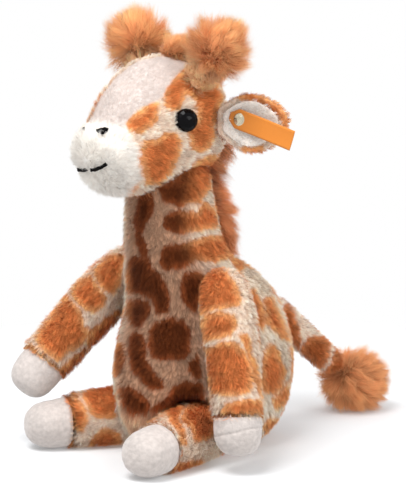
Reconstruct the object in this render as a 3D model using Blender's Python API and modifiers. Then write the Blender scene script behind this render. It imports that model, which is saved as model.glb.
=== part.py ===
"""Seated plush giraffe, in metres.

+Z is up, the animal faces -Y and its left side is +X. The origin is on the seat plane, below
the middle of the belly. Every stuffed form is a coarse cage of oval rings along a path, smoothed
by Subdivision Surface, and is cut by the larger form that it is sewn to.
"""
import bmesh
import bpy
from math import asin, cos, pi, radians, sin
from mathutils import Matrix, Vector

MM = 0.001
X = Vector((1, 0, 0))
Y = Vector((0, 1, 0))
Z = Vector((0, 0, 1))

# Gaps between pieces
SEAT_GAP = 0.3 * MM          # between two pieces sewn or set together
TURN_GAP = 0.4 * MM          # round a root that swings in its socket
CUT_OVERRUN = 6 * MM         # how far a cutter runs past the face that it cuts
CUT_SPAN = 400 * MM          # edge of the blocks that split a form
FLAT_DEPTH = 0.5 * MM        # how deep a form is cut flat where it rests
MERGE_DISTANCE = 0.01 * MM   # joins the poles of turned shapes

# Torso and neck
TORSO_HEIGHT = 142 * MM      # seat to the middle of the neck
BELLY_WIDTH = 86 * MM
BELLY_DEPTH = 118 * MM
NECK_LEAN = 27 * MM          # how far the neck stands in front of the belly's axis
NECK_RADIUS = 24 * MM
NECK_RISE = 34 * MM          # middle of the neck to the crown of its dome, inside the head
# height of the torso, lean of the neck, width of the belly, depth of the belly
TORSO_RING_SHARES = (
    (-0.020, 0.00, 0.52, 0.44),
    (0.055, 0.00, 0.82, 0.75),
    (0.155, 0.00, 0.94, 0.91),
    (0.320, 0.00, 1.00, 1.02),
    (0.520, 0.23, 0.90, 0.91),
    (0.640, 0.58, 0.77, 0.60),
    (0.745, 0.81, 0.69, 0.475),
    (0.880, 0.94, 0.60, 0.47),
)
TORSO_BOTTOM_SHARE = -0.035
# rise of the neck, radius of the neck
NECK_RING_SHARES = (
    (0.00, 1.02),
    (0.36, 1.00),
    (0.66, 0.86),
    (0.88, 0.58),
)

# Seat panel and the pouch of granules above it
SEAT_PANEL_RADIUS = 21.5 * MM
SEAT_PANEL_THICKNESS = 2.4 * MM
SEAT_PANEL_Y = 12 * MM
POUCH_RADIUS = 19.5 * MM
POUCH_HEIGHT = 26 * MM
POUCH_RING_SHARES = ((0.04, 0.62), (0.20, 0.97), (0.50, 1.03), (0.80, 0.93), (0.96, 0.58))

# Head
HEAD_LENGTH = 99.5 * MM
HEAD_WIDTH = 56 * MM
HEAD_HEIGHT = 78 * MM
HEAD_DROP = 20 * MM          # how far the muzzle's middle lies below the back of the head
HEAD_BACK_REACH = 37 * MM    # behind the neck's axis
HEAD_BACK_RISE = 48.5 * MM   # above the middle of the neck
HEAD_BACK_Y = HEAD_BACK_REACH - NECK_LEAN
HEAD_BACK_Z = TORSO_HEIGHT + HEAD_BACK_RISE
# length of the head, drop, width, height
HEAD_RING_SHARES = (
    (0.050, 0.02, 0.58, 0.52),
    (0.203, 0.09, 0.90, 0.84),
    (0.376, 0.22, 1.00, 1.02),
    (0.530, 0.35, 0.95, 1.01),
    (0.665, 0.56, 0.82, 0.83),
    (0.795, 0.80, 0.83, 0.68),
    (0.915, 0.95, 0.76, 0.56),
)
MUZZLE_SEAM_SHARE = 0.695    # place of the seam along the head
PANEL_THICKNESS = 2.2 * MM   # white panel let into the forehead
PANEL_HALF_WIDTH = 15 * MM
PANEL_END_SHARE = 0.33       # its rear end, along the head
PANEL_WAIST_SHARE = 0.86     # its narrowest place, of its width

# Safety eyes
EYE_DIAMETER = 13 * MM
EYE_DOME_HEIGHT = 5.2 * MM
EYE_SINK = 1.2 * MM          # how deep its seat lies in the head's side
EYE_ALONG_SHARE = 0.473      # along the head, from its back
EYE_RISE_SHARE = 0.16        # of the head's half height
EYE_TURN = radians(68)       # of the eye's axis, from the nose towards the side
EYE_TILT = radians(8)        # of the eye's axis, upwards
EYE_SHANK_RADIUS = 1.9 * MM
EYE_SHANK_LENGTH = 12 * MM
EYE_RIB_HEIGHT = 0.4 * MM
EYE_RIBS = 5
EYE_SHANK_BARE_SHARE = 0.3   # of the shank, next to the dome, without ribs
WASHER_RADIUS = 7.5 * MM
WASHER_THICKNESS = 1.2 * MM
WASHER_SLOT_WIDTH = 0.8 * MM
WASHER_SLOTS = 6
WASHER_DEPTH = 5 * MM        # eye seat to the washer
EYE_DOME_SHARES = ((0.0, 1.0), (0.30, 0.99), (0.56, 0.88), (0.80, 0.64), (0.95, 0.33), (1.0, 0.0))

# Horns
HORN_RADIUS = 7.2 * MM
HORN_ALONG_SHARE = 0.382     # place of its base in the head
HORN_OUT_SHARE = 0.68
HORN_RISE_SHARE = 0.51
POMPOM_RADIUS = 16.5 * MM
POMPOM_OUT = 15 * MM         # middle of the pompom from the horn's base
POMPOM_BACK = 7 * MM
POMPOM_UP = 22.5 * MM
POMPOM_FLATTEN_SHARE = 0.93
POMPOM_RING_ANGLES = (radians(30), radians(66), radians(109), radians(141))
# stalk's base to the middle of its pompom, radius of the stalk
HORN_RING_SHARES = ((0.25, 1.12), (0.6, 1.0), (1.0, 1.0))

# Ears
EAR_LENGTH = 40 * MM         # hinge line to tip
EAR_HEIGHT = 30 * MM
EAR_THICKNESS = 3.4 * MM
EAR_CUP = 4.5 * MM           # how far the rims come forward
EAR_BACK_SWEEP = radians(32)
EAR_STAND_OFF = 0.9 * MM     # hinge line to the head's side
EAR_ALONG_SHARE = 0.241      # place of the hinge line on the head
EAR_RISE_SHARE = 0.01
EAR_LINING_THICKNESS = 1.3 * MM
# length of the ear, half height of the ear
EAR_OUTLINE_SHARES = (
    (-0.04, 0.40), (0.16, 0.80), (0.38, 1.10), (0.62, 1.08), (0.84, 0.76), (1.00, 0.30),
)
EAR_ROW_SHARES = (-1.0, -0.55, 0.0, 0.55, 1.0)
EAR_LINING_HEIGHT_SHARE = 0.80
EAR_LINING_LENGTH_SHARES = (0.10, 0.88)

# Rivet and ribbon tag in the left ear
RIVET_OUT = 14.5 * MM        # hinge line to the rivet
RIVET_RISE = 2 * MM          # above the ear's middle line
RIVET_HEAD_RADIUS = 4.4 * MM
RIVET_HEAD_HEIGHT = 2.2 * MM
RIVET_SHANK_RADIUS = 1.3 * MM
RIVET_BACK_RADIUS = 3.4 * MM
RIVET_BACK_THICKNESS = 1.0 * MM
# height of the rivet's head, radius of the head
RIVET_HEAD_SHARES = ((1.0, 0.0), (0.93, 0.45), (0.62, 0.85), (0.20, 1.0), (0.0, 0.95))
TAG_LENGTH = 33 * MM         # rivet to the outer end
TAG_TAIL = 7 * MM            # rivet to the inner end
TAG_WIDTH = 10.5 * MM
TAG_THICKNESS = 0.5 * MM
TAG_DROOP = radians(17)
TAG_LIFT = 8 * MM            # how far the outer end stands in front of the rivet's seat
# whole length of the ribbon, width of the ribbon: its inner end is cut to a point
TAG_STATION_SHARES = ((0.0, 0.16), (0.10, 0.78), (0.29, 1.0), (0.48, 1.0), (0.74, 1.0), (1.0, 1.0))

# Arms, each turning against a flat seat on the shoulder
SHOULDER_OUT_SHARE = 0.728   # of half the belly's width
SHOULDER_LEAN_SHARE = 0.83   # of the neck's lean
SHOULDER_RISE_SHARE = 0.668  # of the torso's height
SHOULDER_TILT = radians(12)  # of the seat's normal, upwards
SHOULDER_SEAT_RADIUS = 34 * MM
ARM_LENGTH = 80 * MM         # shoulder to the middle of the hoof
ARM_RADIUS = 14.8 * MM
HAND_RADIUS = 14.2 * MM
ARM_STAND_OFF = 18.6 * MM    # middle of the hoof to the seat's plane
ARM_REST_LEFT = radians(9)   # forward of hanging down
ARM_REST_RIGHT = radians(41)
# length of the arm, stand-off, radius of the arm
ARM_RING_SHARES = (
    (-0.125, 0.42, 0.62), (-0.02, 0.48, 0.96), (0.20, 0.72, 1.03), (0.44, 0.84, 1.00),
    (0.66, 0.92, 0.93), (0.84, 0.97, 0.94),
)
ARM_TOP_SHARE = -0.165
# radius of the hand past the middle of the hoof, radius of the hand
HAND_RING_SHARES = ((-0.10, 1.02), (0.42, 0.92), (0.76, 0.58))
HAND_TIP_SHARE = 0.89
HAND_SEAM_SHARE = 0.86       # place of the hoof's seam along the arm

# Legs, each swinging on a ball in a socket of the torso
HIP_OUT_SHARE = 0.58         # of half the belly's width
HIP_FRONT_SHARE = 0.34       # of half the belly's depth
THIGH_RADIUS = 17 * MM
FOOT_WIDTH = 30.5 * MM
FOOT_HEIGHT = 28.5 * MM
LEG_LENGTH = 60 * MM         # hip to the middle of the foot
LEG_SPLAY_LEFT = radians(15)
LEG_SPLAY_RIGHT = radians(23)
LEG_RAISE = radians(10)      # how far a leg lifts before the belly stops it
# length of the leg, radius of the thigh
LEG_RING_SHARES = ((0.0, 1.00), (0.30, 1.00), (0.56, 0.95), (0.76, 0.90))
# half the foot's width past the middle of the foot, width and height of the foot
FOOT_RING_SHARES = ((-0.20, 1.00), (0.45, 0.95), (0.86, 0.60))
FOOT_SEAM_SHARE = 0.80

# Tail, swinging on a ball in a socket of the torso
TAIL_BACK_SHARE = 0.9        # of half the belly's depth
TAIL_RISE_SHARE = 0.486      # of the torso's height
TAIL_RADIUS = 9.5 * MM
TAIL_LENGTH = 83 * MM        # root to the middle of the tuft, which rests on the floor
TAIL_DROP_LIMIT = radians(10)
TAIL_RING_SHARES = ((0.0, 1.00), (0.22, 0.92), (0.52, 0.86), (0.80, 0.80))
TAIL_TIP_SHARE = 0.95
TUFT_WIDTH = 37.5 * MM
TUFT_LENGTH = 43 * MM
TUFT_RING_SHARES = ((0.07, 0.50), (0.27, 0.94), (0.52, 1.05), (0.76, 0.93), (0.94, 0.50))

# Manes: strips of long pile, as crests seated on the neck and the head
NECK_MANE_WIDTH = 15 * MM
NECK_MANE_HEIGHT = 12 * MM   # stands off the neck
NECK_MANE_LOW_SHARE = 0.74   # of the torso's height
NECK_MANE_TOP_SHARE = 0.72   # of the neck's rise
NECK_MANE_END_SHARE = 0.74   # its lower end, past its last ring by this share of a step
HEAD_MANE_WIDTH = 15 * MM
HEAD_MANE_HEIGHT = 6 * MM
# along the head, height of the head above its middle line, width and height of the crest
HEAD_MANE_SHARES = (
    (0.38, 0.92, 0.60, 0.70),
    (0.27, 0.86, 1.00, 1.20),
    (0.14, 0.70, 1.00, 1.00),
    (0.04, 0.40, 0.80, 0.80),
)

# Ball that a leg or the tail turns on: ring places, and a pole that makes up for the rounding
BALL_RING_ANGLES = (radians(33), radians(62))
BALL_POLE_SHARE = 1.06

# Smoothness
BODY_SEGMENTS = 16
LIMB_SEGMENTS = 10
SMALL_SEGMENTS = 8
ROUND_SEGMENTS = 20          # of rods and round cutters
TURN_STEPS = 16

MATERIALS = {                # colour, roughness, metallic
    "fur_brown": ((0.52, 0.14, 0.04), 0.95, 0.0),
    "pile_brown": ((0.56, 0.18, 0.06), 0.95, 0.0),
    "plush_white": ((0.87, 0.80, 0.74), 0.95, 0.0),
    "suede_white": ((0.80, 0.76, 0.72), 0.90, 0.0),
    "eye_black": ((0.01, 0.01, 0.012), 0.08, 0.0),
    "washer_plastic": ((0.80, 0.80, 0.78), 0.45, 0.0),
    "rivet_metal": ((0.72, 0.68, 0.60), 0.25, 1.0),
    "ribbon_yellow": ((0.80, 0.33, 0.03), 0.80, 0.0),
    "lining_cotton": ((0.75, 0.72, 0.66), 0.90, 0.0),
}


# Helpers

def clear_scene():
    for old in list(bpy.data.objects):
        bpy.data.objects.remove(old, do_unlink=True)


def collection(name):
    made = bpy.data.collections.new(name)
    bpy.context.scene.collection.children.link(made)
    return made


def material(name):
    found = bpy.data.materials.get(name)
    if found:
        return found
    colour, roughness, metallic = MATERIALS[name]
    made = bpy.data.materials.new(name)
    made.use_nodes = True
    shader = made.node_tree.nodes["Principled BSDF"]
    shader.inputs["Base Color"].default_value = (*colour, 1)
    shader.inputs["Roughness"].default_value = roughness
    shader.inputs["Metallic"].default_value = metallic
    return made


def joint_empty(name, place):
    """The parent of a moving piece, on its joint's axis."""
    empty = bpy.data.objects.new(name, None)
    empty.location = place
    PARTS.objects.link(empty)
    return empty


def finish_mesh(name, mesh_data, finish, joint=None):
    """Links a mesh built round its joint as a part, or as a cutter when finish is None."""
    bmesh.ops.recalc_face_normals(mesh_data, faces=mesh_data.faces)
    mesh = bpy.data.meshes.new(name)
    mesh_data.to_mesh(mesh)
    mesh_data.free()
    made = bpy.data.objects.new(name, mesh)
    if joint:
        made.parent = joint
    if finish is None:
        CUTTERS.objects.link(made)
        made.hide_render = True
        made.display_type = "WIRE"
    else:
        PARTS.objects.link(made)
        mesh.materials.append(material(finish))
    return made


def smooth(made, level=1):
    """Rounds a cage with Subdivision Surface and shades it smooth."""
    rounding = made.modifiers.new("rounding", "SUBSURF")
    rounding.levels = level
    rounding.render_levels = level
    made.data.shade_smooth()
    return made


def combine(target, other, operation="DIFFERENCE"):
    cut = target.modifiers.new(other.name, "BOOLEAN")
    cut.operation = operation
    cut.object = other
    cut.solver = "EXACT"
    return target


def origin_of(joint):
    return joint.location.copy() if joint else Vector()


def soft_form(name, start, rings, end, side, finish, joint=None, grow=0.0, segments=LIMB_SEGMENTS):
    """Closed cage of oval rings with a pole at each end, rounded by Subdivision Surface.

    A ring is (middle, half size along side, half size across). grow is added all round.
    """
    middles = [start] + [ring[0] for ring in rings] + [end]
    swell = 1 / cos(pi / segments)
    mesh_data = bmesh.new()
    shift = origin_of(joint)
    loops = []
    for index, (middle, half_side, half_across) in enumerate(rings, start=1):
        along = (middles[index + 1] - middles[index - 1]).normalized()
        across = along.cross(side).normalized()
        level_side = across.cross(along).normalized()
        loop = []
        for step in range(segments):
            angle = 2 * pi * step / segments
            reach = level_side * (cos(angle) * (half_side + grow) * swell)
            reach += across * (sin(angle) * (half_across + grow) * swell)
            loop.append(mesh_data.verts.new(middle + reach - shift))
        loops.append(loop)
    first_out = (middles[0] - middles[1]).normalized() * grow
    last_out = (middles[-1] - middles[-2]).normalized() * grow
    poles = (mesh_data.verts.new(start + first_out - shift), mesh_data.verts.new(end + last_out - shift))
    for low, high in zip(loops, loops[1:]):
        for step in range(segments):
            after = (step + 1) % segments
            mesh_data.faces.new((low[step], low[after], high[after], high[step]))
    for pole, loop in zip(poles, (loops[0], loops[-1])):
        for step in range(segments):
            mesh_data.faces.new((pole, loop[step], loop[(step + 1) % segments]))
    return smooth(finish_mesh(name, mesh_data, finish, joint))


def ball_root(centre, along, radius):
    """Pole and rings of the ball that a limb turns on, behind its centre."""
    pole = centre - along * (radius * BALL_POLE_SHARE)
    rings = [(centre - along * (radius * cos(angle)), radius * sin(angle), radius * sin(angle))
             for angle in BALL_RING_ANGLES]
    return pole, rings


def block_beyond(name, point, outward, joint=None):
    """A large block whose one face passes through point and which lies on the outward side."""
    mesh_data = bmesh.new()
    turn = outward.to_track_quat("Z", "Y").to_matrix().to_4x4()
    middle = point + outward.normalized() * (CUT_SPAN / 2) - origin_of(joint)
    bmesh.ops.create_cube(mesh_data, size=CUT_SPAN, matrix=Matrix.Translation(middle) @ turn)
    return finish_mesh(name, mesh_data, None, joint)


def rod(name, start, end, radius, finish=None, joint=None):
    """A cylinder between two points."""
    mesh_data = bmesh.new()
    along = end - start
    turn = along.to_track_quat("Z", "Y").to_matrix().to_4x4()
    place = Matrix.Translation((start + end) / 2 - origin_of(joint)) @ turn
    bmesh.ops.create_cone(mesh_data, cap_ends=True, segments=ROUND_SEGMENTS, radius1=radius,
                          radius2=radius, depth=along.length, matrix=place)
    return finish_mesh(name, mesh_data, finish, joint)


def capsule(name, pivot, direction, radius, reach):
    """A ball at the pivot and a rod that leaves it, as one closed cutter."""
    rings = []
    steps = LIMB_SEGMENTS // 3
    for step in range(1, steps + 1):
        angle = pi / 2 * step / steps
        rings.append((pivot - direction * (radius * cos(angle)), radius * sin(angle)))
    rings.append((pivot + direction * reach, radius))
    side = direction.cross(Z).normalized()
    across = direction.cross(side).normalized()
    segments = ROUND_SEGMENTS
    mesh_data = bmesh.new()
    loops = []
    for middle, size in rings:
        loop = []
        for step in range(segments):
            angle = 2 * pi * step / segments
            place = middle + (side * cos(angle) + across * sin(angle)) * (size / cos(pi / segments))
            loop.append(mesh_data.verts.new(place))
        loops.append(loop)
    pole = mesh_data.verts.new(pivot - direction * radius)
    for low, high in zip(loops, loops[1:]):
        for step in range(segments):
            after = (step + 1) % segments
            mesh_data.faces.new((low[step], low[after], high[after], high[step]))
    for step in range(segments):
        mesh_data.faces.new((pole, loops[0][step], loops[0][(step + 1) % segments]))
    mesh_data.faces.new(loops[-1])
    return finish_mesh(name, mesh_data, None)


def turned(name, profile, place, axis, finish, joint=None):
    """A turned shape: profile points are (distance along the axis, radius), outer end first."""
    mesh_data = bmesh.new()
    corners = [mesh_data.verts.new((radius, 0, along)) for along, radius in profile]
    for near, far in zip(corners, corners[1:]):
        mesh_data.edges.new((near, far))
    mesh = bpy.data.meshes.new(name)
    mesh_data.to_mesh(mesh)
    mesh_data.free()
    mesh.materials.append(material(finish))
    made = bpy.data.objects.new(name, mesh)
    PARTS.objects.link(made)
    if joint:
        made.parent = joint
    made.location = place - origin_of(joint)
    made.rotation_euler = axis.to_track_quat("Z", "Y").to_euler()
    turning = made.modifiers.new("turning", "SCREW")
    turning.steps = TURN_STEPS
    turning.render_steps = TURN_STEPS
    turning.use_merge_vertices = True
    turning.merge_threshold = MERGE_DISTANCE
    turning.use_smooth_shade = True
    return made


def sheet_form(name, points, finish, joint, thickness, front, level=1):
    """A grid of points given thickness by Solidify and rounded by Subdivision Surface."""
    mesh_data = bmesh.new()
    shift = origin_of(joint)
    rows = [[mesh_data.verts.new(point - shift) for point in row] for row in points]
    for low, high in zip(rows, rows[1:]):
        for index in range(len(low) - 1):
            mesh_data.faces.new((low[index], low[index + 1], high[index + 1], high[index]))
    mesh = bpy.data.meshes.new(name)
    mesh_data.normal_update()
    first = mesh_data.faces[:][0]
    facing = 1 if first.normal.dot(front) > 0 else -1
    mesh_data.to_mesh(mesh)
    mesh_data.free()
    mesh.materials.append(material(finish))
    made = bpy.data.objects.new(name, mesh)
    PARTS.objects.link(made)
    made.parent = joint
    thick = made.modifiers.new("thickness", "SOLIDIFY")
    thick.thickness = thickness
    thick.offset = -facing
    thick.use_even_offset = True
    if level:
        smooth(made, level)
    return made


# Torso, seat and neck mane

def torso_rings():
    rings = []
    for height, lean, width, depth in TORSO_RING_SHARES:
        middle = Vector((0, -lean * NECK_LEAN, height * TORSO_HEIGHT))
        rings.append((middle, width * BELLY_WIDTH / 2, depth * BELLY_DEPTH / 2))
    for rise, radius in NECK_RING_SHARES:
        middle = Vector((0, -NECK_LEAN, TORSO_HEIGHT + rise * NECK_RISE))
        rings.append((middle, radius * NECK_RADIUS, radius * NECK_RADIUS))
    return rings


def torso_form(name, finish, grow=0.0):
    low = Z * (TORSO_BOTTOM_SHARE * TORSO_HEIGHT)
    high = Vector((0, -NECK_LEAN, TORSO_HEIGHT + NECK_RISE))
    return soft_form(name, low, torso_rings(), high, X, finish, grow=grow, segments=BODY_SEGMENTS)


def build_torso():
    body = torso_form("body_skin", "fur_brown")
    combine(body, FLOOR)
    seat = Vector((0, SEAT_PANEL_Y, 0))
    recess_top = SEAT_PANEL_THICKNESS + SEAT_GAP
    pocket_top = recess_top + POUCH_HEIGHT + 2 * SEAT_GAP
    recess = rod("seat_recess", seat - Z * CUT_OVERRUN, seat + Z * recess_top, SEAT_PANEL_RADIUS + SEAT_GAP)
    pocket = rod("pouch_pocket", seat - Z * CUT_OVERRUN, seat + Z * pocket_top, POUCH_RADIUS + SEAT_GAP)
    combine(body, recess)
    combine(body, pocket)
    rod("seat_panel", seat, seat + Z * SEAT_PANEL_THICKNESS, SEAT_PANEL_RADIUS, "suede_white")
    foot = seat + Z * recess_top
    rings = [(foot + Z * (rise * POUCH_HEIGHT), radius * POUCH_RADIUS, radius * POUCH_RADIUS)
             for rise, radius in POUCH_RING_SHARES]
    pouch = soft_form("bean_pouch", foot, rings, foot + Z * POUCH_HEIGHT, X, "lining_cotton")
    bound = rod("pouch_bound", foot - Z * CUT_OVERRUN, foot + Z * (POUCH_HEIGHT + CUT_OVERRUN), POUCH_RADIUS)
    combine(pouch, bound, "INTERSECT")
    return body


def neck_mane_path():
    """Points down the back of the neck, on its surface."""
    points = [Vector((0, NECK_RADIUS - NECK_LEAN, TORSO_HEIGHT + NECK_MANE_TOP_SHARE * NECK_RISE)),
              Vector((0, NECK_RADIUS - NECK_LEAN, TORSO_HEIGHT))]
    for height, lean, width, depth in reversed(TORSO_RING_SHARES):
        if height >= NECK_MANE_LOW_SHARE:
            back = depth * BELLY_DEPTH / 2 - lean * NECK_LEAN
            points.append(Vector((0, back, height * TORSO_HEIGHT)))
    points.append(points[-1] + (points[-1] - points[-2]) * NECK_MANE_END_SHARE)
    return points


def build_neck_mane():
    path = neck_mane_path()
    rings = [(point, NECK_MANE_WIDTH / 2, NECK_MANE_HEIGHT) for point in path[1:-1]]
    mane = soft_form("neck_mane", path[0], rings, path[-1], X, "pile_brown", segments=SMALL_SEGMENTS)
    combine(mane, torso_form("torso_for_mane", None, SEAT_GAP))


# Head and what is set on it

def head_middle(along, drop):
    return Vector((0, HEAD_BACK_Y - along * HEAD_LENGTH, HEAD_BACK_Z - drop * HEAD_DROP))


def head_form(name, finish, grow=0.0, joint=None):
    rings = [(head_middle(along, drop), width * HEAD_WIDTH / 2, height * HEAD_HEIGHT / 2)
             for along, drop, width, height in HEAD_RING_SHARES]
    return soft_form(name, head_middle(0, 0), rings, head_middle(1, 1), X, finish, joint, grow,
                     segments=BODY_SEGMENTS)


def head_place(side, along, rise):
    """Point on the head's side, as shares of its length and of its half height at that place."""
    for near, far in zip(HEAD_RING_SHARES, HEAD_RING_SHARES[1:]):
        if near[0] <= along <= far[0]:
            part = (along - near[0]) / (far[0] - near[0])
            drop, width, height = (low + (high - low) * part for low, high in zip(near[1:], far[1:]))
    out = width * HEAD_WIDTH / 2 * (1 - rise * rise) ** 0.5
    return head_middle(along, drop) + Z * (rise * height * HEAD_HEIGHT / 2) + X * (side * out)


def blaze_prism(name, joint, grow):
    """The forehead panel's outline seen from above, as an upright prism."""
    half = PANEL_HALF_WIDTH + grow
    rear = head_middle(PANEL_END_SHARE, 0).y + grow
    front = head_middle(MUZZLE_SEAM_SHARE, 0).y - CUT_OVERRUN
    low = HEAD_BACK_Z
    high = HEAD_BACK_Z + HEAD_HEIGHT
    middle = (rear + front) / 2
    waist = half * PANEL_WAIST_SHARE
    outline = [(-half, front), (-waist, middle), (-half, rear - half), (-waist, rear - half / 3),
               (-half / 2, rear), (half / 2, rear), (waist, rear - half / 3), (half, rear - half),
               (waist, middle), (half, front)]
    mesh_data = bmesh.new()
    shift = origin_of(joint)
    bottom = mesh_data.faces.new([mesh_data.verts.new(Vector((x, y, low)) - shift) for x, y in outline])
    raised = bmesh.ops.extrude_face_region(mesh_data, geom=[bottom])
    tops = [item for item in raised["geom"] if isinstance(item, bmesh.types.BMVert)]
    bmesh.ops.translate(mesh_data, verts=tops, vec=Z * (high - low))
    return finish_mesh(name, mesh_data, None, joint)


def eye_axis(side):
    flat = cos(EYE_TILT)
    return Vector((side * sin(EYE_TURN) * flat, -cos(EYE_TURN) * flat, sin(EYE_TILT)))


def build_eye(label, side, joint, head):
    seat = head_place(side, EYE_ALONG_SHARE, EYE_RISE_SHARE) - X * (side * EYE_SINK)
    out = eye_axis(side)
    profile = [(rise * EYE_DOME_HEIGHT, radius * EYE_DIAMETER / 2) for rise, radius in EYE_DOME_SHARES]
    profile.reverse()
    bare_end = -EYE_SHANK_BARE_SHARE * EYE_SHANK_LENGTH
    profile += [(0, EYE_SHANK_RADIUS), (bare_end, EYE_SHANK_RADIUS)]
    pitch = (EYE_SHANK_LENGTH + bare_end) / EYE_RIBS
    for rib in range(EYE_RIBS):
        start = bare_end - rib * pitch
        profile.append((start - pitch / 4, EYE_SHANK_RADIUS + EYE_RIB_HEIGHT))
        profile.append((start - pitch, EYE_SHANK_RADIUS))
    profile.append((-EYE_SHANK_LENGTH, 0))
    turned("eye_" + label, profile, seat, out, "eye_black", joint)

    washer_front = seat - out * WASHER_DEPTH
    washer_back = washer_front - out * WASHER_THICKNESS
    washer = rod("eye_washer_" + label, washer_front, washer_back, WASHER_RADIUS, "washer_plastic", joint)
    bore_radius = EYE_SHANK_RADIUS + EYE_RIB_HEIGHT + SEAT_GAP
    bore_end = seat - out * (EYE_SHANK_LENGTH + SEAT_GAP)
    bore = rod("eye_bore_" + label, seat + out * CUT_OVERRUN, bore_end, bore_radius, joint=joint)
    combine(washer, bore)
    across = out.cross(Z).normalized()
    upward = across.cross(out)
    slot_inner = bore_radius
    slot_outer = (bore_radius + WASHER_RADIUS) / 2
    for index in range(WASHER_SLOTS):
        angle = 2 * pi * index / WASHER_SLOTS
        ray = across * cos(angle) + upward * sin(angle)
        start = washer_front + ray * (slot_inner - WASHER_SLOT_WIDTH)
        mesh_data = bmesh.new()
        size = Matrix.Diagonal((WASHER_SLOT_WIDTH, slot_outer - slot_inner + WASHER_SLOT_WIDTH,
                                4 * WASHER_THICKNESS, 1))
        frame = Matrix((ray.cross(out), ray, out)).transposed().to_4x4()
        middle = start + ray * ((slot_outer - slot_inner + WASHER_SLOT_WIDTH) / 2) - origin_of(joint)
        bmesh.ops.create_cube(mesh_data, size=1, matrix=Matrix.Translation(middle) @ frame @ size)
        combine(washer, finish_mesh("washer_slot_%s_%d" % (label, index), mesh_data, None, joint))

    pocket = rod("washer_pocket_" + label, washer_front + out * SEAT_GAP, washer_back - out * SEAT_GAP,
                 WASHER_RADIUS + SEAT_GAP, joint=joint)
    hollow = rod("eye_seat_" + label, seat - out * SEAT_GAP, seat + out * CUT_OVERRUN,
                 EYE_DIAMETER / 2 + SEAT_GAP, joint=joint)
    for cutter in (bore, pocket, hollow):
        combine(head, cutter)


def build_horn(label, side, joint):
    surface = head_place(side, HORN_ALONG_SHARE, HORN_RISE_SHARE)
    base = Vector((side * HORN_OUT_SHARE * HEAD_WIDTH / 2, surface.y, surface.z))
    ball = base + Vector((side * POMPOM_OUT, POMPOM_BACK, POMPOM_UP))
    up = (ball - base).normalized()
    rings = [(base + (ball - base) * share, HORN_RADIUS * swell, HORN_RADIUS * swell)
             for share, swell in HORN_RING_SHARES]
    stalk = soft_form("horn_" + label, base - up * HORN_RADIUS, rings, ball + up * HORN_RADIUS, Y,
                      "fur_brown", joint, segments=SMALL_SEGMENTS)
    combine(stalk, HEAD_GROWN)
    pompom_form("horn_pompom_" + label, ball, up, "pile_brown", joint)
    combine(stalk, pompom_form("pompom_grown_" + label, ball, up, None, joint, SEAT_GAP))


def pompom_form(name, ball, up, finish, joint, grow=0.0):
    tall = POMPOM_RADIUS * POMPOM_FLATTEN_SHARE
    rings = [(ball - up * (tall * cos(angle)), POMPOM_RADIUS * sin(angle), POMPOM_RADIUS * sin(angle))
             for angle in POMPOM_RING_ANGLES]
    return soft_form(name, ball - up * tall, rings, ball + up * tall, Y, finish, joint, grow)


def build_head_mane(joint):
    points = []
    for along, height, width, crest in HEAD_MANE_SHARES:
        place = head_middle(along, 0) + Z * (height * HEAD_HEIGHT / 2)
        points.append((place, width * HEAD_MANE_WIDTH / 2, crest * HEAD_MANE_HEIGHT))
    start = points[0][0] + (points[0][0] - points[1][0]) / 3
    end = points[-1][0] + (points[-1][0] - points[-2][0]) / 3
    mane = soft_form("head_mane", start, points, end, X, "pile_brown", joint, segments=SMALL_SEGMENTS)
    combine(mane, HEAD_GROWN)


def build_head(joint):
    head = head_form("head", "fur_brown", joint=joint)
    seam = head_middle(MUZZLE_SEAM_SHARE, 0)
    combine(head, block_beyond("muzzle_side", seam, -Y, joint))
    combine(head, torso_form("neck_socket", None, TURN_GAP))
    muzzle = head_form("muzzle", "plush_white", joint=joint)
    combine(muzzle, block_beyond("head_side", seam - Y * SEAT_GAP, Y, joint))
    panel = head_form("forehead_panel", "plush_white", joint=joint)
    combine(panel, blaze_prism("panel_outline", joint, 0.0), "INTERSECT")
    combine(panel, head_form("under_panel", None, -PANEL_THICKNESS, joint))
    combine(panel, block_beyond("muzzle_side_of_panel", seam, -Y, joint))
    inlay = blaze_prism("panel_inlay", joint, SEAT_GAP)
    combine(inlay, head_form("under_inlay", None, -PANEL_THICKNESS - SEAT_GAP, joint))
    combine(head, inlay)
    build_head_mane(joint)
    for label, side in SIDES:
        build_eye(label, side, joint, head)
        build_horn(label, side, joint)


# Ears, rivet and tag

def ear_axes(side):
    out = Vector((side * cos(EAR_BACK_SWEEP), sin(EAR_BACK_SWEEP), 0))
    front = Vector((side * sin(EAR_BACK_SWEEP), -cos(EAR_BACK_SWEEP), 0))
    return out, front


def ear_surface(root, side, stations, height_share, lift):
    """Grid of points on the cupped front of the ear, whose middle layer holds the hinge line."""
    out, front = ear_axes(side)
    lift += EAR_THICKNESS / 2
    rows = []
    for along, half in stations:
        row = []
        for across in EAR_ROW_SHARES:
            rise = across * half * height_share
            point = root + out * (along * EAR_LENGTH) + Z * (rise * EAR_HEIGHT / 2)
            point += front * (lift + EAR_CUP * rise * rise)
            row.append(point)
        rows.append(row)
    return rows


def lining_stations():
    first, last = EAR_LINING_LENGTH_SHARES
    return [(first + along * (last - first), half) for along, half in EAR_OUTLINE_SHARES]


def build_ear(label, side, joint):
    root = origin_of(joint)
    out, front = ear_axes(side)
    outer = sheet_form("ear_outer_" + label, ear_surface(root, side, EAR_OUTLINE_SHARES, 1.0, 0.0),
                       "fur_brown", joint, EAR_THICKNESS, front)
    lift = EAR_LINING_THICKNESS + 2 * SEAT_GAP
    lining = sheet_form("ear_lining_" + label,
                        ear_surface(root, side, lining_stations(), EAR_LINING_HEIGHT_SHARE, lift),
                        "plush_white", joint, EAR_LINING_THICKNESS, front)
    combine(outer, HEAD_GROWN)
    return outer, lining


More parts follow.
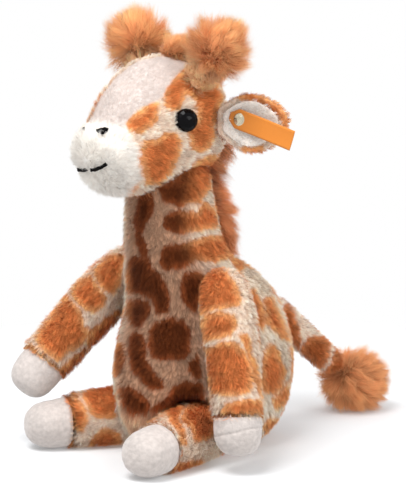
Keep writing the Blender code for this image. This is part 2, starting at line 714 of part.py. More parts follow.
def rivet_place(joint, side):
    out, front = ear_axes(side)
    return origin_of(joint) + out * RIVET_OUT + Z * RIVET_RISE


def tag_points(place, side, lift):
    """Grid of the ribbon: it leaves the cup and droops in front of the ear's rim."""
    out, front = ear_axes(side)
    along = out * cos(TAG_DROOP) - Z * sin(TAG_DROOP)
    across = out * sin(TAG_DROOP) + Z * cos(TAG_DROOP)
    total = TAG_TAIL + TAG_LENGTH
    rows = []
    for share, width in TAG_STATION_SHARES:
        run = share * total - TAG_TAIL
        outside = max(run - RIVET_HEAD_RADIUS, 0) / (TAG_LENGTH - RIVET_HEAD_RADIUS)
        middle = place + along * run + front * (lift + TAG_LIFT * outside)
        half = across * (width * TAG_WIDTH / 2)
        rows.append([middle - half, middle, middle + half])
    return rows


def build_rivet_and_tag(ear_joint, tag_joint, outer, lining, side):
    out, front = ear_axes(side)
    place = rivet_place(ear_joint, side)
    cup_under_tag = EAR_CUP * ((TAG_WIDTH / 2 + RIVET_RISE) / (EAR_HEIGHT / 2)) ** 2
    tag_lift = EAR_THICKNESS / 2 + EAR_LINING_THICKNESS + 3 * SEAT_GAP + TAG_THICKNESS + cup_under_tag
    tag = sheet_form("ear_tag", tag_points(place, side, tag_lift), "ribbon_yellow", tag_joint,
                     TAG_THICKNESS, front, level=0)
    head_seat = tag_lift + SEAT_GAP
    back_seat = -EAR_THICKNESS / 2 - SEAT_GAP
    profile = [(head_seat + rise * RIVET_HEAD_HEIGHT, radius * RIVET_HEAD_RADIUS)
               for rise, radius in RIVET_HEAD_SHARES]
    shank_end = back_seat - RIVET_BACK_THICKNESS / 2
    profile += [(head_seat, RIVET_SHANK_RADIUS), (shank_end, RIVET_SHANK_RADIUS), (shank_end, 0)]
    turned("rivet_front", profile, place, front, "rivet_metal", ear_joint)
    cap_front = place + front * back_seat
    cap = rod("rivet_back", cap_front, cap_front - front * RIVET_BACK_THICKNESS, RIVET_BACK_RADIUS,
              "rivet_metal", ear_joint)
    hole = rod("rivet_hole", place - front * CUT_OVERRUN, place + front * CUT_OVERRUN,
               RIVET_SHANK_RADIUS + SEAT_GAP)
    blind = rod("rivet_cap_hole", cap_front + front * CUT_OVERRUN,
                cap_front - front * (RIVET_BACK_THICKNESS / 2 + SEAT_GAP), RIVET_SHANK_RADIUS + SEAT_GAP)
    for piece in (tag, lining, outer):
        combine(piece, hole)
    combine(cap, blind)


# Limbs and tail

def shoulder_axes(side):
    out = Vector((side * cos(SHOULDER_TILT), 0, sin(SHOULDER_TILT)))
    down = Vector((side * sin(SHOULDER_TILT), 0, -cos(SHOULDER_TILT)))
    return out, down


def build_arm(label, side, rest, joint, body):
    out, down = shoulder_axes(side)
    along = down * cos(rest) - Y * sin(rest)
    root = origin_of(joint)

    def middle(share, stand_off):
        return root + along * (share * ARM_LENGTH) + out * (stand_off * ARM_STAND_OFF)

    rings = [(middle(share, off), radius * ARM_RADIUS, radius * ARM_RADIUS)
             for share, off, radius in ARM_RING_SHARES]
    hoof = middle(1.0, 1.0)
    rings += [(hoof + along * (past * HAND_RADIUS), radius * HAND_RADIUS, radius * HAND_RADIUS)
              for past, radius in HAND_RING_SHARES]
    top = middle(ARM_TOP_SHARE, ARM_RING_SHARES[0][1])
    tip = hoof + along * (HAND_TIP_SHARE * HAND_RADIUS)
    seam = middle(HAND_SEAM_SHARE, 1.0)
    arm = soft_form("arm_" + label, top, rings, tip, out, "fur_brown", joint)
    combine(arm, block_beyond("shoulder_seat_side_" + label, root + out * SEAT_GAP, -out, joint))
    combine(arm, block_beyond("hand_side_" + label, seam, along, joint))
    hand = soft_form("hand_hoof_" + label, top, rings, tip, out, "suede_white", joint)
    combine(hand, block_beyond("arm_side_" + label, seam + along * SEAT_GAP, -along, joint))
    face = rod("shoulder_face_" + label, root, root + out * ARM_STAND_OFF, SHOULDER_SEAT_RADIUS)
    combine(body, face)


def leg_direction(side, splay, raise_angle=0.0):
    flat = cos(raise_angle)
    return Vector((side * sin(splay) * flat, -cos(splay) * flat, sin(raise_angle)))


def leg_slot(name, pivot, direction, radius):
    """Upright slot below the hip, round at its rear, through which the leg swings down."""
    across = direction.cross(Z).normalized()
    outline = [pivot + direction * LEG_LENGTH + across * radius]
    steps = LIMB_SEGMENTS
    for step in range(steps + 1):
        angle = pi * step / steps
        outline.append(pivot + across * (radius * cos(angle)) - direction * (radius * sin(angle)))
    outline.append(pivot + direction * LEG_LENGTH - across * radius)
    mesh_data = bmesh.new()
    top = mesh_data.faces.new([mesh_data.verts.new(point) for point in outline])
    lowered = bmesh.ops.extrude_face_region(mesh_data, geom=[top])
    moved = [item for item in lowered["geom"] if isinstance(item, bmesh.types.BMVert)]
    bmesh.ops.translate(mesh_data, verts=moved, vec=-Z * (pivot.z + CUT_OVERRUN))
    return finish_mesh(name, mesh_data, None)


def build_leg(label, side, splay, joint, body):
    root = origin_of(joint)
    along = leg_direction(side, splay)
    foot = root + along * LEG_LENGTH
    foot.z = FOOT_HEIGHT / 2 - FLAT_DEPTH
    run = foot - root
    back, rings = ball_root(root, run.normalized(), THIGH_RADIUS)
    rings += [(root + run * share, radius * THIGH_RADIUS, radius * THIGH_RADIUS)
              for share, radius in LEG_RING_SHARES]
    rings += [(foot + along * (past * FOOT_WIDTH / 2), size * FOOT_WIDTH / 2, size * FOOT_HEIGHT / 2)
              for past, size in FOOT_RING_SHARES]
    tip = foot + along * (FOOT_WIDTH / 2)
    seam = root + run * FOOT_SEAM_SHARE
    side_way = along.cross(Z).normalized()
    leg = soft_form("leg_" + label, back, rings, tip, side_way, "fur_brown", joint)
    hoof = soft_form("foot_hoof_" + label, back, rings, tip, side_way, "suede_white", joint)
    combine(leg, block_beyond("foot_side_" + label, seam, along, joint))
    combine(hoof, block_beyond("leg_side_" + label, seam + along * SEAT_GAP, -along, joint))
    combine(leg, FLOOR)
    combine(hoof, FLOOR)
    clear = THIGH_RADIUS + TURN_GAP
    combine(body, capsule("hip_socket_" + label, root, along, clear, LEG_LENGTH))
    way = leg_direction(side, splay, LEG_RAISE)
    combine(body, rod("hip_raised_" + label, root + way * (clear / 2), root + way * LEG_LENGTH, clear))
    combine(body, leg_slot("hip_slot_" + label, root, along, clear - SEAT_GAP / 2))


def build_tail(joint, body):
    root = origin_of(joint)
    tuft_height = TUFT_WIDTH / 2 - FLAT_DEPTH
    fall = asin((root.z - tuft_height) / TAIL_LENGTH)
    along = Vector((0, cos(fall), -sin(fall)))
    start, rings = ball_root(root, along, TAIL_RADIUS)
    rings += [(root + along * (share * TAIL_LENGTH), radius * TAIL_RADIUS, radius * TAIL_RADIUS)
              for share, radius in TAIL_RING_SHARES]
    end = root + along * (TAIL_TIP_SHARE * TAIL_LENGTH)
    tail = soft_form("tail", start, rings, end, X, "fur_brown", joint)
    middle = root + along * TAIL_LENGTH
    flat = (along + Y).normalized()
    first = middle - flat * (TUFT_LENGTH / 2)
    last = middle + flat * (TUFT_LENGTH / 2)

    def tuft(name, finish, grow=0.0):
        shapes = [(first + (last - first) * share, radius * TUFT_WIDTH / 2, radius * TUFT_WIDTH / 2)
                  for share, radius in TUFT_RING_SHARES]
        return soft_form(name, first, shapes, last, X, finish, joint, grow)

    combine(tuft("tail_tuft", "pile_brown"), FLOOR)
    combine(tail, tuft("tuft_grown", None, SEAT_GAP))
    clear = TAIL_RADIUS + TURN_GAP
    combine(body, capsule("tail_socket", root, along, clear, TAIL_LENGTH / 2))
    lowest = Vector((0, cos(fall + TAIL_DROP_LIMIT), -sin(fall + TAIL_DROP_LIMIT)))
    combine(body, rod("tail_lowest", root + lowest * (clear / 2), root + lowest * (TAIL_LENGTH / 2), clear))


# Assembly

clear_scene()
PARTS = collection("plush_giraffe")
CUTTERS = collection("cutters")
SIDES = (("left", 1), ("right", -1))

HEAD_JOINT = joint_empty("joint_head", Vector((0, -NECK_LEAN, TORSO_HEIGHT)))
FLOOR = block_beyond("floor_cut", Vector(), -Z)
HEAD_GROWN = head_form("head_grown", None, SEAT_GAP)

body_skin = build_torso()
build_neck_mane()
build_head(HEAD_JOINT)

for ear_label, ear_side in SIDES:
    ear_root = head_place(ear_side, EAR_ALONG_SHARE, EAR_RISE_SHARE) + X * (ear_side * EAR_STAND_OFF)
    ear_joint = joint_empty("joint_ear_" + ear_label, ear_root)
    ear_outer, ear_lining = build_ear(ear_label, ear_side, ear_joint)
    if ear_side > 0:
        tag_joint = joint_empty("joint_ear_tag", rivet_place(ear_joint, ear_side))
        build_rivet_and_tag(ear_joint, tag_joint, ear_outer, ear_lining, ear_side)

for arm_label, arm_side, arm_rest in (("left", 1, ARM_REST_LEFT), ("right", -1, ARM_REST_RIGHT)):
    shoulder = Vector((arm_side * SHOULDER_OUT_SHARE * BELLY_WIDTH / 2, -SHOULDER_LEAN_SHARE * NECK_LEAN,
                       SHOULDER_RISE_SHARE * TORSO_HEIGHT))
    arm_joint = joint_empty("joint_shoulder_" + arm_label, shoulder)
    build_arm(arm_label, arm_side, arm_rest, arm_joint, body_skin)

for leg_label, leg_side, leg_splay in (("left", 1, LEG_SPLAY_LEFT), ("right", -1, LEG_SPLAY_RIGHT)):
    hip = Vector((leg_side * HIP_OUT_SHARE * BELLY_WIDTH / 2, -HIP_FRONT_SHARE * BELLY_DEPTH / 2,
                  THIGH_RADIUS - FLAT_DEPTH))
    leg_joint = joint_empty("joint_hip_" + leg_label, hip)
    build_leg(leg_label, leg_side, leg_splay, leg_joint, body_skin)

tail_root = Vector((0, TAIL_BACK_SHARE * BELLY_DEPTH / 2, TAIL_RISE_SHARE * TORSO_HEIGHT))
build_tail(joint_empty("joint_tail", tail_root), body_skin)
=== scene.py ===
"""Looks of the seated plush giraffe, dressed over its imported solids.

Metres, +Z up, the animal faces -Y and its left side is +X, as in the CAD. Each cover is remeshed
from its CAD solid, and its pile is grown on it as tapered ribbons, combed as the real pile lies.
"""

from math import cos, pi, radians, sin

import bmesh
import bpy
import numpy as np
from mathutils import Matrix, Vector
from mathutils.bvhtree import BVHTree
from mathutils.kdtree import KDTree


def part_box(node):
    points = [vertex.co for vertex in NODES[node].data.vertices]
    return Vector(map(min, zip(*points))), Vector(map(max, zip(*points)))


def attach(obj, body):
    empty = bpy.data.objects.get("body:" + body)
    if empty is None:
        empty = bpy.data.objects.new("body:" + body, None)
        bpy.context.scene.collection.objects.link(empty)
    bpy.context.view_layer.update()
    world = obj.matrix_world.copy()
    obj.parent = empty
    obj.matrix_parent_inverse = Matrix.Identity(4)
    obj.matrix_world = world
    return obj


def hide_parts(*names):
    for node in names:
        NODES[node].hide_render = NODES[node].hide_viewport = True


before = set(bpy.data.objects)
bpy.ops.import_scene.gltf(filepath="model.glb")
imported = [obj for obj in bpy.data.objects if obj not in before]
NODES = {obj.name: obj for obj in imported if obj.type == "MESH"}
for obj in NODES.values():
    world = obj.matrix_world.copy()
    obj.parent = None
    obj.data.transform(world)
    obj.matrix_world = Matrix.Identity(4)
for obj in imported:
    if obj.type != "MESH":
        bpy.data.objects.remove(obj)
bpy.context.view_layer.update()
MM = 0.001

# Camera, as the photograph was taken
IMAGE_WIDTH, IMAGE_HEIGHT = 406, 500
SENSOR = 36.0
VIEW_TURN = radians(48)
VIEW_RISE = radians(10)
VIEW_AIM = np.array((0, 0, 0.1113))
VIEW_AIM_PX = (205, 250)
VIEW_DISTANCE = 1.6
PX_PER_METRE = 1770
FOCAL_PX = PX_PER_METRE * VIEW_DISTANCE
LEVEL_BACK = (sin(VIEW_TURN) * cos(VIEW_RISE), -cos(VIEW_TURN) * cos(VIEW_RISE))
BACK = np.array((*LEVEL_BACK, sin(VIEW_RISE)))
RIGHT = np.array((cos(VIEW_TURN), sin(VIEW_TURN), 0))
UP = np.cross(BACK, RIGHT)
EYE_POINT = VIEW_AIM + BACK * VIEW_DISTANCE


def new_object(name, data):
    made = bpy.data.objects.new(name, data)
    bpy.context.scene.collection.objects.link(made)
    return made


def aim(made, place, way):
    made.location = place
    made.rotation_mode = "QUATERNION"
    made.rotation_quaternion = Vector(way).to_track_quat("-Z", "Y")


def make_camera():
    lens = bpy.data.cameras.new("camera")
    lens.sensor_width = SENSOR
    lens.lens = FOCAL_PX / IMAGE_HEIGHT * SENSOR
    lens.shift_x = (IMAGE_WIDTH / 2 - VIEW_AIM_PX[0]) / IMAGE_HEIGHT
    lens.shift_y = (VIEW_AIM_PX[1] - IMAGE_HEIGHT / 2) / IMAGE_HEIGHT
    made = new_object("camera", lens)
    aim(made, EYE_POINT, -BACK)
    bpy.context.scene.camera = made


def to_photo(points):
    """Where points fall in the photograph, in its pixels."""
    away = points - EYE_POINT
    depth = -(away @ BACK)
    x = VIEW_AIM_PX[0] + FOCAL_PX * (away @ RIGHT) / depth
    y = VIEW_AIM_PX[1] - FOCAL_PX * (away @ UP) / depth
    return x, y


def photo_ray(x, y):
    """Where a pixel of the photograph is seen from, and in which direction."""
    across = (x - VIEW_AIM_PX[0]) / FOCAL_PX
    down = (y - VIEW_AIM_PX[1]) / FOCAL_PX
    return Vector(EYE_POINT), Vector(RIGHT * across - UP * down - BACK).normalized()


# Colours

def linear(*srgb):
    """An sRGB colour, each channel from 0 to 255, as linear light."""
    return np.array([(c / 255 / 12.92) if c <= 10 else ((c / 255 + 0.055) / 1.055) ** 2.4
                     for c in srgb])


BROWN = linear(248, 186, 126)
BROWN_DEEP = linear(222, 140, 82)
# Painted shade: darker copies of the brown for the front of the body, which the head shades
SHADED_FRONT_BROWN = linear(156, 86, 48)
SHADED_FRONT_DEEP = linear(112, 56, 24)
CREAM = linear(255, 236, 219)
# Painted shade: a darker copy of the cream for the front of the body
SHADED_FRONT_CREAM = linear(204, 166, 138)
PILE = linear(255, 191, 136)
MANE = linear(232, 164, 114)
TUFT = linear(238, 178, 126)
STALK = linear(255, 210, 166)
WHITE = linear(252, 248, 243)
PANEL = linear(228, 218, 213)
LINING = linear(255, 246, 238)
SUEDE = linear(190, 181, 176)
RIBBON = linear(210, 126, 40)
SEAM = linear(255, 206, 166)
EYE = linear(5, 4, 6)
METAL = linear(206, 196, 172)
THREAD = linear(10, 9, 9)
TAIL_BROWN = linear(222, 150, 98)
TAIL_DEEP = linear(190, 112, 62)

# Outlines of the markings in the photograph, in its pixels
TORSO_MARKS = (
    ((158, 188), (175, 180), (190, 158), (213, 148), (215, 182), (209, 191), (200, 203),
     (178, 207), (163, 201)),
    ((138, 200), (142, 192), (152, 194), (155, 204), (152, 217), (144, 226), (142, 234),
     (147, 247), (149, 258), (140, 256), (136, 240), (134, 222), (136, 208)),
    ((164, 226), (165, 216), (178, 210), (196, 212), (202, 202), (210, 205), (218, 212),
     (221, 227), (212, 229), (198, 231), (185, 234), (170, 233)),
    ((160, 264), (161, 252), (166, 246), (190, 242), (205, 236), (222, 236), (230, 244),
     (229, 258), (215, 263), (200, 260), (185, 268), (168, 271)),
    ((128, 264), (132, 257), (150, 257), (153, 268), (161, 275), (167, 284), (171, 300),
     (170, 313), (157, 314), (151, 298), (142, 295), (130, 293), (127, 280)),
    ((128, 301), (148, 300), (151, 313), (144, 322), (140, 329), (132, 325), (127, 312)),
    ((149, 331), (157, 322), (168, 318), (184, 319), (190, 328), (191, 352), (184, 359),
     (165, 361), (152, 357), (148, 345)),
    ((180, 283), (183, 274), (200, 271), (207, 280), (200, 300), (196, 314), (186, 307),
     (180, 296)),
    ((129, 338), (134, 331), (142, 333), (147, 346), (147, 358), (153, 371), (161, 379),
     (164, 388), (153, 391), (142, 384), (132, 370), (129, 355)),
    ((112, 348), (117, 342), (124, 345), (125, 362), (121, 375), (115, 377), (112, 362)),
    ((188, 362), (198, 355), (202, 378), (195, 380), (189, 370)),
    ((168, 397), (173, 387), (185, 381), (202, 383), (206, 408), (180, 409), (160, 412),
     (150, 412), (157, 402)),
    ((119, 390), (130, 386), (142, 393), (151, 402), (149, 415), (135, 416), (124, 408)),
    ((245, 297), (250, 289), (256, 291), (262, 304), (265, 322), (262, 331), (255, 323),
     (249, 312)),
    ((263, 300), (271, 297), (279, 311), (285, 329), (288, 341), (280, 339), (272, 331),
     (265, 322)),
    ((265, 349), (270, 343), (276, 347), (281, 360), (285, 372), (282, 387), (274, 395),
     (264, 392), (259, 380), (262, 362)),
    ((289, 338), (295, 346), (299, 360), (294, 377), (290, 380), (291, 360)),
    ((271, 400), (283, 387), (293, 382), (288, 400), (276, 411)),
    ((262, 426), (268, 418), (282, 420), (282, 440), (268, 448)),
    ((229, 245), (237, 256), (245, 269), (239, 273), (230, 263), (227, 254)),
    ((207, 300), (218, 292), (234, 298), (241, 312), (234, 327), (216, 330), (206, 318)),
    ((208, 344), (222, 336), (240, 338), (247, 352), (242, 367), (224, 371), (210, 362)),
    ((208, 382), (222, 377), (242, 377), (251, 390), (246, 405), (228, 411), (212, 402)),
    ((222, 421), (238, 415), (254, 421), (252, 438), (234, 444), (222, 436)),
)
HEAD_MARKS = (
    ((164, 92), (165, 83), (175, 77), (184, 69), (196, 66), (206, 74), (217, 84), (223, 96),
     (219, 112), (215, 124), (214, 138), (209, 149), (198, 152), (191, 148), (189, 138),
     (187, 128), (197, 120), (197, 108), (192, 99), (186, 95), (183, 102), (180, 109), (172, 112),
     (164, 105)),
    ((126, 124), (129, 117), (140, 111), (150, 103), (158, 103), (159, 112), (157, 122),
     (148, 128), (142, 135), (136, 133), (128, 129)),
    ((141, 149), (145, 141), (158, 139), (164, 133), (175, 132), (181, 140), (180, 152),
     (175, 164), (171, 175), (160, 183), (146, 184), (142, 172)),
    ((120, 189), (130, 183), (138, 185), (132, 191), (124, 194)),
    ((186, 176), (196, 160), (214, 154), (222, 166), (216, 180), (196, 186)),
    ((84, 112), (94, 84), (108, 56), (128, 44), (136, 50), (124, 66), (112, 84), (104, 108),
     (96, 118)),
)
ARM_LEFT_MARKS = (
    ((193, 298), (199, 283), (206, 271), (216, 266), (227, 273), (235, 283), (242, 296),
     (240, 305), (227, 309), (212, 311), (200, 317), (193, 311)),
    ((202, 323), (205, 314), (220, 312), (235, 315), (237, 326), (231, 337), (216, 339),
     (206, 343), (202, 334)),
    ((198, 367), (201, 355), (209, 347), (222, 342), (235, 343), (245, 351), (250, 363),
     (254, 380), (250, 393), (236, 396), (223, 396), (211, 394), (209, 381), (203, 375)),
    ((220, 414), (226, 404), (239, 400), (256, 400), (268, 404), (268, 414), (250, 415),
     (236, 418)),
    ((240, 337), (246, 333), (251, 346), (254, 358), (258, 372), (262, 390), (266, 402),
     (259, 399), (255, 384), (251, 367), (246, 351)),
)
ARM_RIGHT_MARKS = (
    ((94, 272), (103, 260), (114, 255), (127, 253), (123, 270), (120, 284), (113, 295), (104, 291),
     (97, 282)),
    ((72, 296), (75, 286), (84, 278), (92, 276), (99, 287), (107, 298), (105, 305), (94, 313),
     (85, 311), (77, 303)),
    ((36, 338), (41, 327), (50, 318), (57, 304), (66, 296), (75, 304), (81, 312), (85, 326),
     (91, 334), (83, 343), (71, 351), (58, 363), (47, 355), (38, 347)),
    ((20, 349), (32, 345), (41, 353), (51, 362), (60, 368), (53, 378), (43, 374), (33, 364),
     (24, 357)),
    ((50, 373), (66, 363), (74, 355), (84, 349), (92, 353), (94, 358), (82, 370), (74, 386),
     (58, 384)),
    ((86, 343), (91, 329), (104, 319), (118, 310), (122, 326), (110, 338), (100, 348), (90, 353)),
)
LEG_RIGHT_MARKS = (
    ((58, 398), (65, 390), (77, 395), (85, 409), (89, 422), (83, 433), (74, 430), (70, 412)),
    ((82, 394), (90, 385), (104, 382), (122, 387), (130, 404), (125, 413), (110, 419), (98, 419),
     (89, 413), (84, 402)),
    ((88, 447), (91, 436), (102, 429), (109, 427), (120, 433), (122, 443), (110, 450), (90, 453)),
    ((60, 452), (69, 443), (74, 439), (73, 451), (64, 458)),
)
LEG_LEFT_MARKS = (
    ((182, 420), (183, 411), (192, 402), (204, 402), (214, 412), (215, 434), (207, 441),
     (194, 442), (190, 430)),
    ((160, 408), (176, 401), (188, 402), (181, 411), (179, 420), (185, 432), (187, 445),
     (180, 445), (176, 430), (168, 418)),
    ((168, 467), (184, 461), (202, 459), (202, 472), (180, 478), (160, 478)),
    ((134, 410), (150, 404), (162, 406), (152, 418), (138, 420)),
)
TAIL_MARKS = (
    ((278, 318), (286, 304), (294, 312), (299, 328), (301, 340), (298, 349), (290, 340)),
    ((300, 347), (309, 337), (322, 336), (330, 343), (329, 358), (321, 368), (311, 362),
     (303, 353)),
    ((334, 352), (342, 346), (356, 350), (356, 364), (340, 376), (323, 374), (331, 362)),
)
EAR_MARKS = (
    ((236, 96), (246, 91), (262, 92), (280, 104), (290, 120), (286, 133), (278, 120), (262, 107),
     (245, 103)),
    ((240, 146), (262, 145), (266, 154), (244, 154)),
)
MOUTH_LINE = (
    (78, 166.8), (81, 168.4), (85, 168.6), (88.5, 167.6), (93, 168.4), (98, 167.8), (103, 165.8),
    (107.5, 162.8),
)
NOSTRIL_LINE = ((98.5, 133.2), (101, 131.8), (105, 131.2), (108.5, 131.8))
NOSTRIL_LOW_LINE = ((101, 133.4), (104.5, 134.6), (107, 133))
# The far nostril isn't seen in the photograph, so it sits this much further from the middle
FAR_SPREAD = 1.35
# Seam of the back, as the photograph shows it
BACK_SEAM = ((271, 297), (281, 317), (290, 338), (297, 363), (289, 380), (273, 399))
# Outline of the white muzzle and forehead panel in the photograph
WHITE_OUTLINE = (
    (150, 40), (190, 60), (184, 68), (176, 76), (168, 86), (163, 97), (152, 103), (140, 109),
    (131, 115), (126, 125), (130, 136), (137, 143), (139, 152), (139.5, 165), (141, 178),
    (134, 187), (120, 205), (40, 205), (40, 90), (100, 40),
)

# How far a marking's outline wanders, in pixels of the photograph, and over what distance
EDGE_WANDER = ((1.2, 0.012), (0.8, 0.004))
# How far outside a marking its depth is still measured, in pixels
MARK_REACH = 9
# A marking's edge, feathered, and where it turns to its deeper middle, in pixels inside it
MARK_EDGE = (-2.0, 1.2)
MARK_MIDDLE = (1, 8)
MIDDLE_WANDER = (1.6, 0.014)
# The net of the sides that the photograph doesn't show: its gaps, and how its cells wander
CELL_GAP = 0.0036
CELL_WANDER = 0.0012
CELL_WAVE = 0.014
CELL_SHIFTS = (0.3, 1.9, 3.1)
# How squarely a side faces the camera, or its mirror image, where the marks seen there take over
SEEN_SHARES = (0.02, 0.22)
MIRROR_SHARES = (0.05, 0.3)


def wobble(points, wave, shift=0.0):
    """Smooth irregular values from about -1 to 1, over distances of about wave metres."""
    x, y, z = (points / wave * 2 * pi).T
    value = np.sin(x * 0.9 + 1.7 * np.sin(y * 0.7 + shift) + shift)
    value += np.sin(y * 1.1 + 1.3 * np.sin(z * 0.8 - shift) + 2 * shift)
    value += np.sin(z + 1.5 * np.sin(x * 0.6 + 3 * shift))
    return value / 3


def ease(value, low, high):
    """A smooth step from 0 at low to 1 at high."""
    share = np.clip((value - low) / (high - low), 0, 1)
    return share * share * (3 - 2 * share)


def line_distance(x, y, line):
    """Distance of places in the photograph from a line in it, in its pixels."""
    nearest = np.full(len(x), np.inf)
    for (x0, y0), (x1, y1) in zip(line, line[1:]):
        span = np.array((x1 - x0, y1 - y0), float)
        share = np.clip(((x - x0) * span[0] + (y - y0) * span[1]) / (span @ span), 0, 1)
        gap = np.hypot(x - x0 - share * span[0], y - y0 - share * span[1])
        nearest = np.minimum(nearest, gap)
    return nearest


def inside_outline(x, y, outline):
    """How far inside an outline of the photograph places in it are; below zero outside."""
    closed = outline + outline[:1]
    odd = np.zeros(len(x), bool)
    for (x0, y0), (x1, y1) in zip(closed, closed[1:]):
        if y0 != y1:
            crossed = (y0 > y) != (y1 > y)
            odd ^= crossed & (x < x0 + (y - y0) * (x1 - x0) / (y1 - y0))
    nearest = line_distance(x, y, closed)
    return np.where(odd, nearest, -nearest)


def mark_depth(points, marks):
    """How far inside a marking seen in the photograph, in its pixels; below zero outside."""
    x, y = to_photo(points)
    for shift, (reach, wave) in enumerate(EDGE_WANDER, start=1):
        x = x + reach * wobble(points, wave, shift)
        y = y + reach * wobble(points, wave, shift + 3)
    deepest = np.full(len(points), -float(MARK_REACH))
    for outline in marks:
        low, high = np.min(outline, axis=0) - MARK_REACH, np.max(outline, axis=0) + MARK_REACH
        close = (x > low[0]) & (x < high[0]) & (y > low[1]) & (y < high[1])
        deepest[close] = np.maximum(deepest[close], inside_outline(x[close], y[close], outline))
    return deepest


def cell_depth(points, seeds):
    """The same for the cells of the net."""
    sway = np.stack([wobble(points, CELL_WAVE, shift) for shift in CELL_SHIFTS], axis=1)
    moved = points + CELL_WANDER * sway
    away = np.linalg.norm(moved[:, None, :] - seeds[None, :, :], axis=2)
    two = np.partition(away, 1, axis=1)[:, :2]
    return (two[:, 1] - two[:, 0] - CELL_GAP) / 2 * PX_PER_METRE


def marking(marks, seeds, mirrored=False):
    """Function: how far inside a marking, in pixels of the photograph; below zero outside."""
    def depth(points, normals):
        hidden = cell_depth(points, seeds)
        if mirrored:
            flip = np.array((-1, 1, 1))
            weight = ease((normals * flip) @ BACK, *MIRROR_SHARES)
            hidden = hidden * (1 - weight) + mark_depth(points * flip, marks) * weight
        weight = ease(normals @ BACK, *SEEN_SHARES)
        return hidden * (1 - weight) + mark_depth(points, marks) * weight
    return depth


# Meshes

STRAND_TRIANGLES = 180000
HOOVES = ("hand_hoof_left", "hand_hoof_right", "foot_hoof_left", "foot_hoof_right")
BARE_NODES = ("eye_left", "eye_right", "rivet_front", "rivet_back", "ear_tag")
# Painted shade along each fibre: how much deeper its red, green and blue fall towards its root
ROOT_TINT = np.array((0.7, 1.0, 1.3))
ROOT_SINK = 0.2 * MM
SHORTEST_STRAND = 0.2 * MM
# No strand grows as close as this to eyes, rivet and ribbon, or to another solid
BARE_CLEARANCE = 1.2 * MM
SOLID_CLEARANCE = 0.15 * MM
# A strand whose tip gets into a bare part is laid down to this share of its length
LAID_SHARE = 0.35
LAID_CLEARANCE = 0.2 * MM
# Strands near a hoof stand this far off it
HOOF_CLEARANCE = 0.5 * MM
HOOF_STEP = 0.15 * MM
SEARCH_REACH = 4 * MM
FLOOR_CLEARANCE = 0.25 * MM
WIDTH_TAPER = 0.45


def mesh_of(made):
    """A new mesh of the object as its modifiers or its curve shape it."""
    bpy.context.view_layer.update()
    return bpy.data.meshes.new_from_object(
        made.evaluated_get(bpy.context.evaluated_depsgraph_get()))


def applied(made):
    mesh = mesh_of(made)
    made.modifiers.clear()
    made.data = mesh


def shell_of(nodes):
    shell = bmesh.new()
    for node in nodes:
        shell.from_mesh(NODES[node].data)
    return shell


def object_of(name, shell):
    mesh = bpy.data.meshes.new(name)
    shell.to_mesh(mesh)
    shell.free()
    return new_object(name, mesh)


def dress_in(made, material):
    made.data.materials.clear()
    made.data.materials.append(material)
    made.data.shade_smooth()


def cover(name, nodes, voxel, inset, rounds=6):
    """The cloth that the pile stands on: an even mesh over CAD solids, drawn in by inset."""
    shell = shell_of(nodes)
    bmesh.ops.remove_doubles(shell, verts=shell.verts, dist=MM / 100)
    made = object_of(name, shell)
    remesh = made.modifiers.new("remesh", "REMESH")
    remesh.mode = "VOXEL"
    remesh.voxel_size = voxel
    soften = made.modifiers.new("soften", "SMOOTH")
    soften.factor = 0.5
    soften.iterations = rounds
    applied(made)
    made.data.shade_smooth()
    move_out(made, np.full(len(made.data.vertices), -inset))
    return made


def vertex_arrays(mesh):
    places = np.empty(len(mesh.vertices) * 3)
    normals = np.empty(len(mesh.vertices) * 3)
    mesh.vertices.foreach_get("co", places)
    mesh.vertex_normals.foreach_get("vector", normals)
    return places.reshape(-1, 3), normals.reshape(-1, 3)


def move_out(made, distances):
    places, normals = vertex_arrays(made.data)
    made.data.vertices.foreach_set("co", (places + normals * distances[:, None]).ravel())
    made.data.update()


def paint(mesh, colours):
    """Stores the colours that the material reads."""
    layer = mesh.color_attributes.new("pile", "FLOAT_COLOR", "POINT")
    layer.data.foreach_set("color", np.column_stack([colours, np.ones(len(colours))]).ravel())


def unit(vectors):
    return vectors / np.maximum(np.linalg.norm(vectors, axis=1, keepdims=True), 1e-9)


def sample(mesh, count, rng):
    """Points and normals spread evenly over a mesh."""
    places, vertex_normals = vertex_arrays(mesh)
    mesh.calc_loop_triangles()
    corners = np.empty(len(mesh.loop_triangles) * 3, np.int32)
    mesh.loop_triangles.foreach_get("vertices", corners)
    corners = corners.reshape(-1, 3)
    a, b, c = (places[corners[:, k]] for k in range(3))
    areas = np.linalg.norm(np.cross(b - a, c - a), axis=1)
    pick = rng.choice(len(corners), count, p=areas / areas.sum())
    u, v = rng.random(count), rng.random(count)
    over = u + v > 1
    u[over], v[over] = 1 - u[over], 1 - v[over]
    weights = np.stack([1 - u - v, u, v], axis=1)
    chosen = corners[pick]
    points = np.einsum("nk,nkd->nd", weights, places[chosen])
    normals = unit(np.einsum("nk,nkd->nd", weights, vertex_normals[chosen]))
    return points, normals


def tree_of(nodes):
    """Search tree over CAD solids."""
    shell = shell_of(nodes)
    tree = BVHTree.FromBMesh(shell)
    shell.free()
    return tree


def clear_of(points, tree, reach):
    return np.array([tree.find_nearest(Vector(point), reach)[0] is None for point in points])


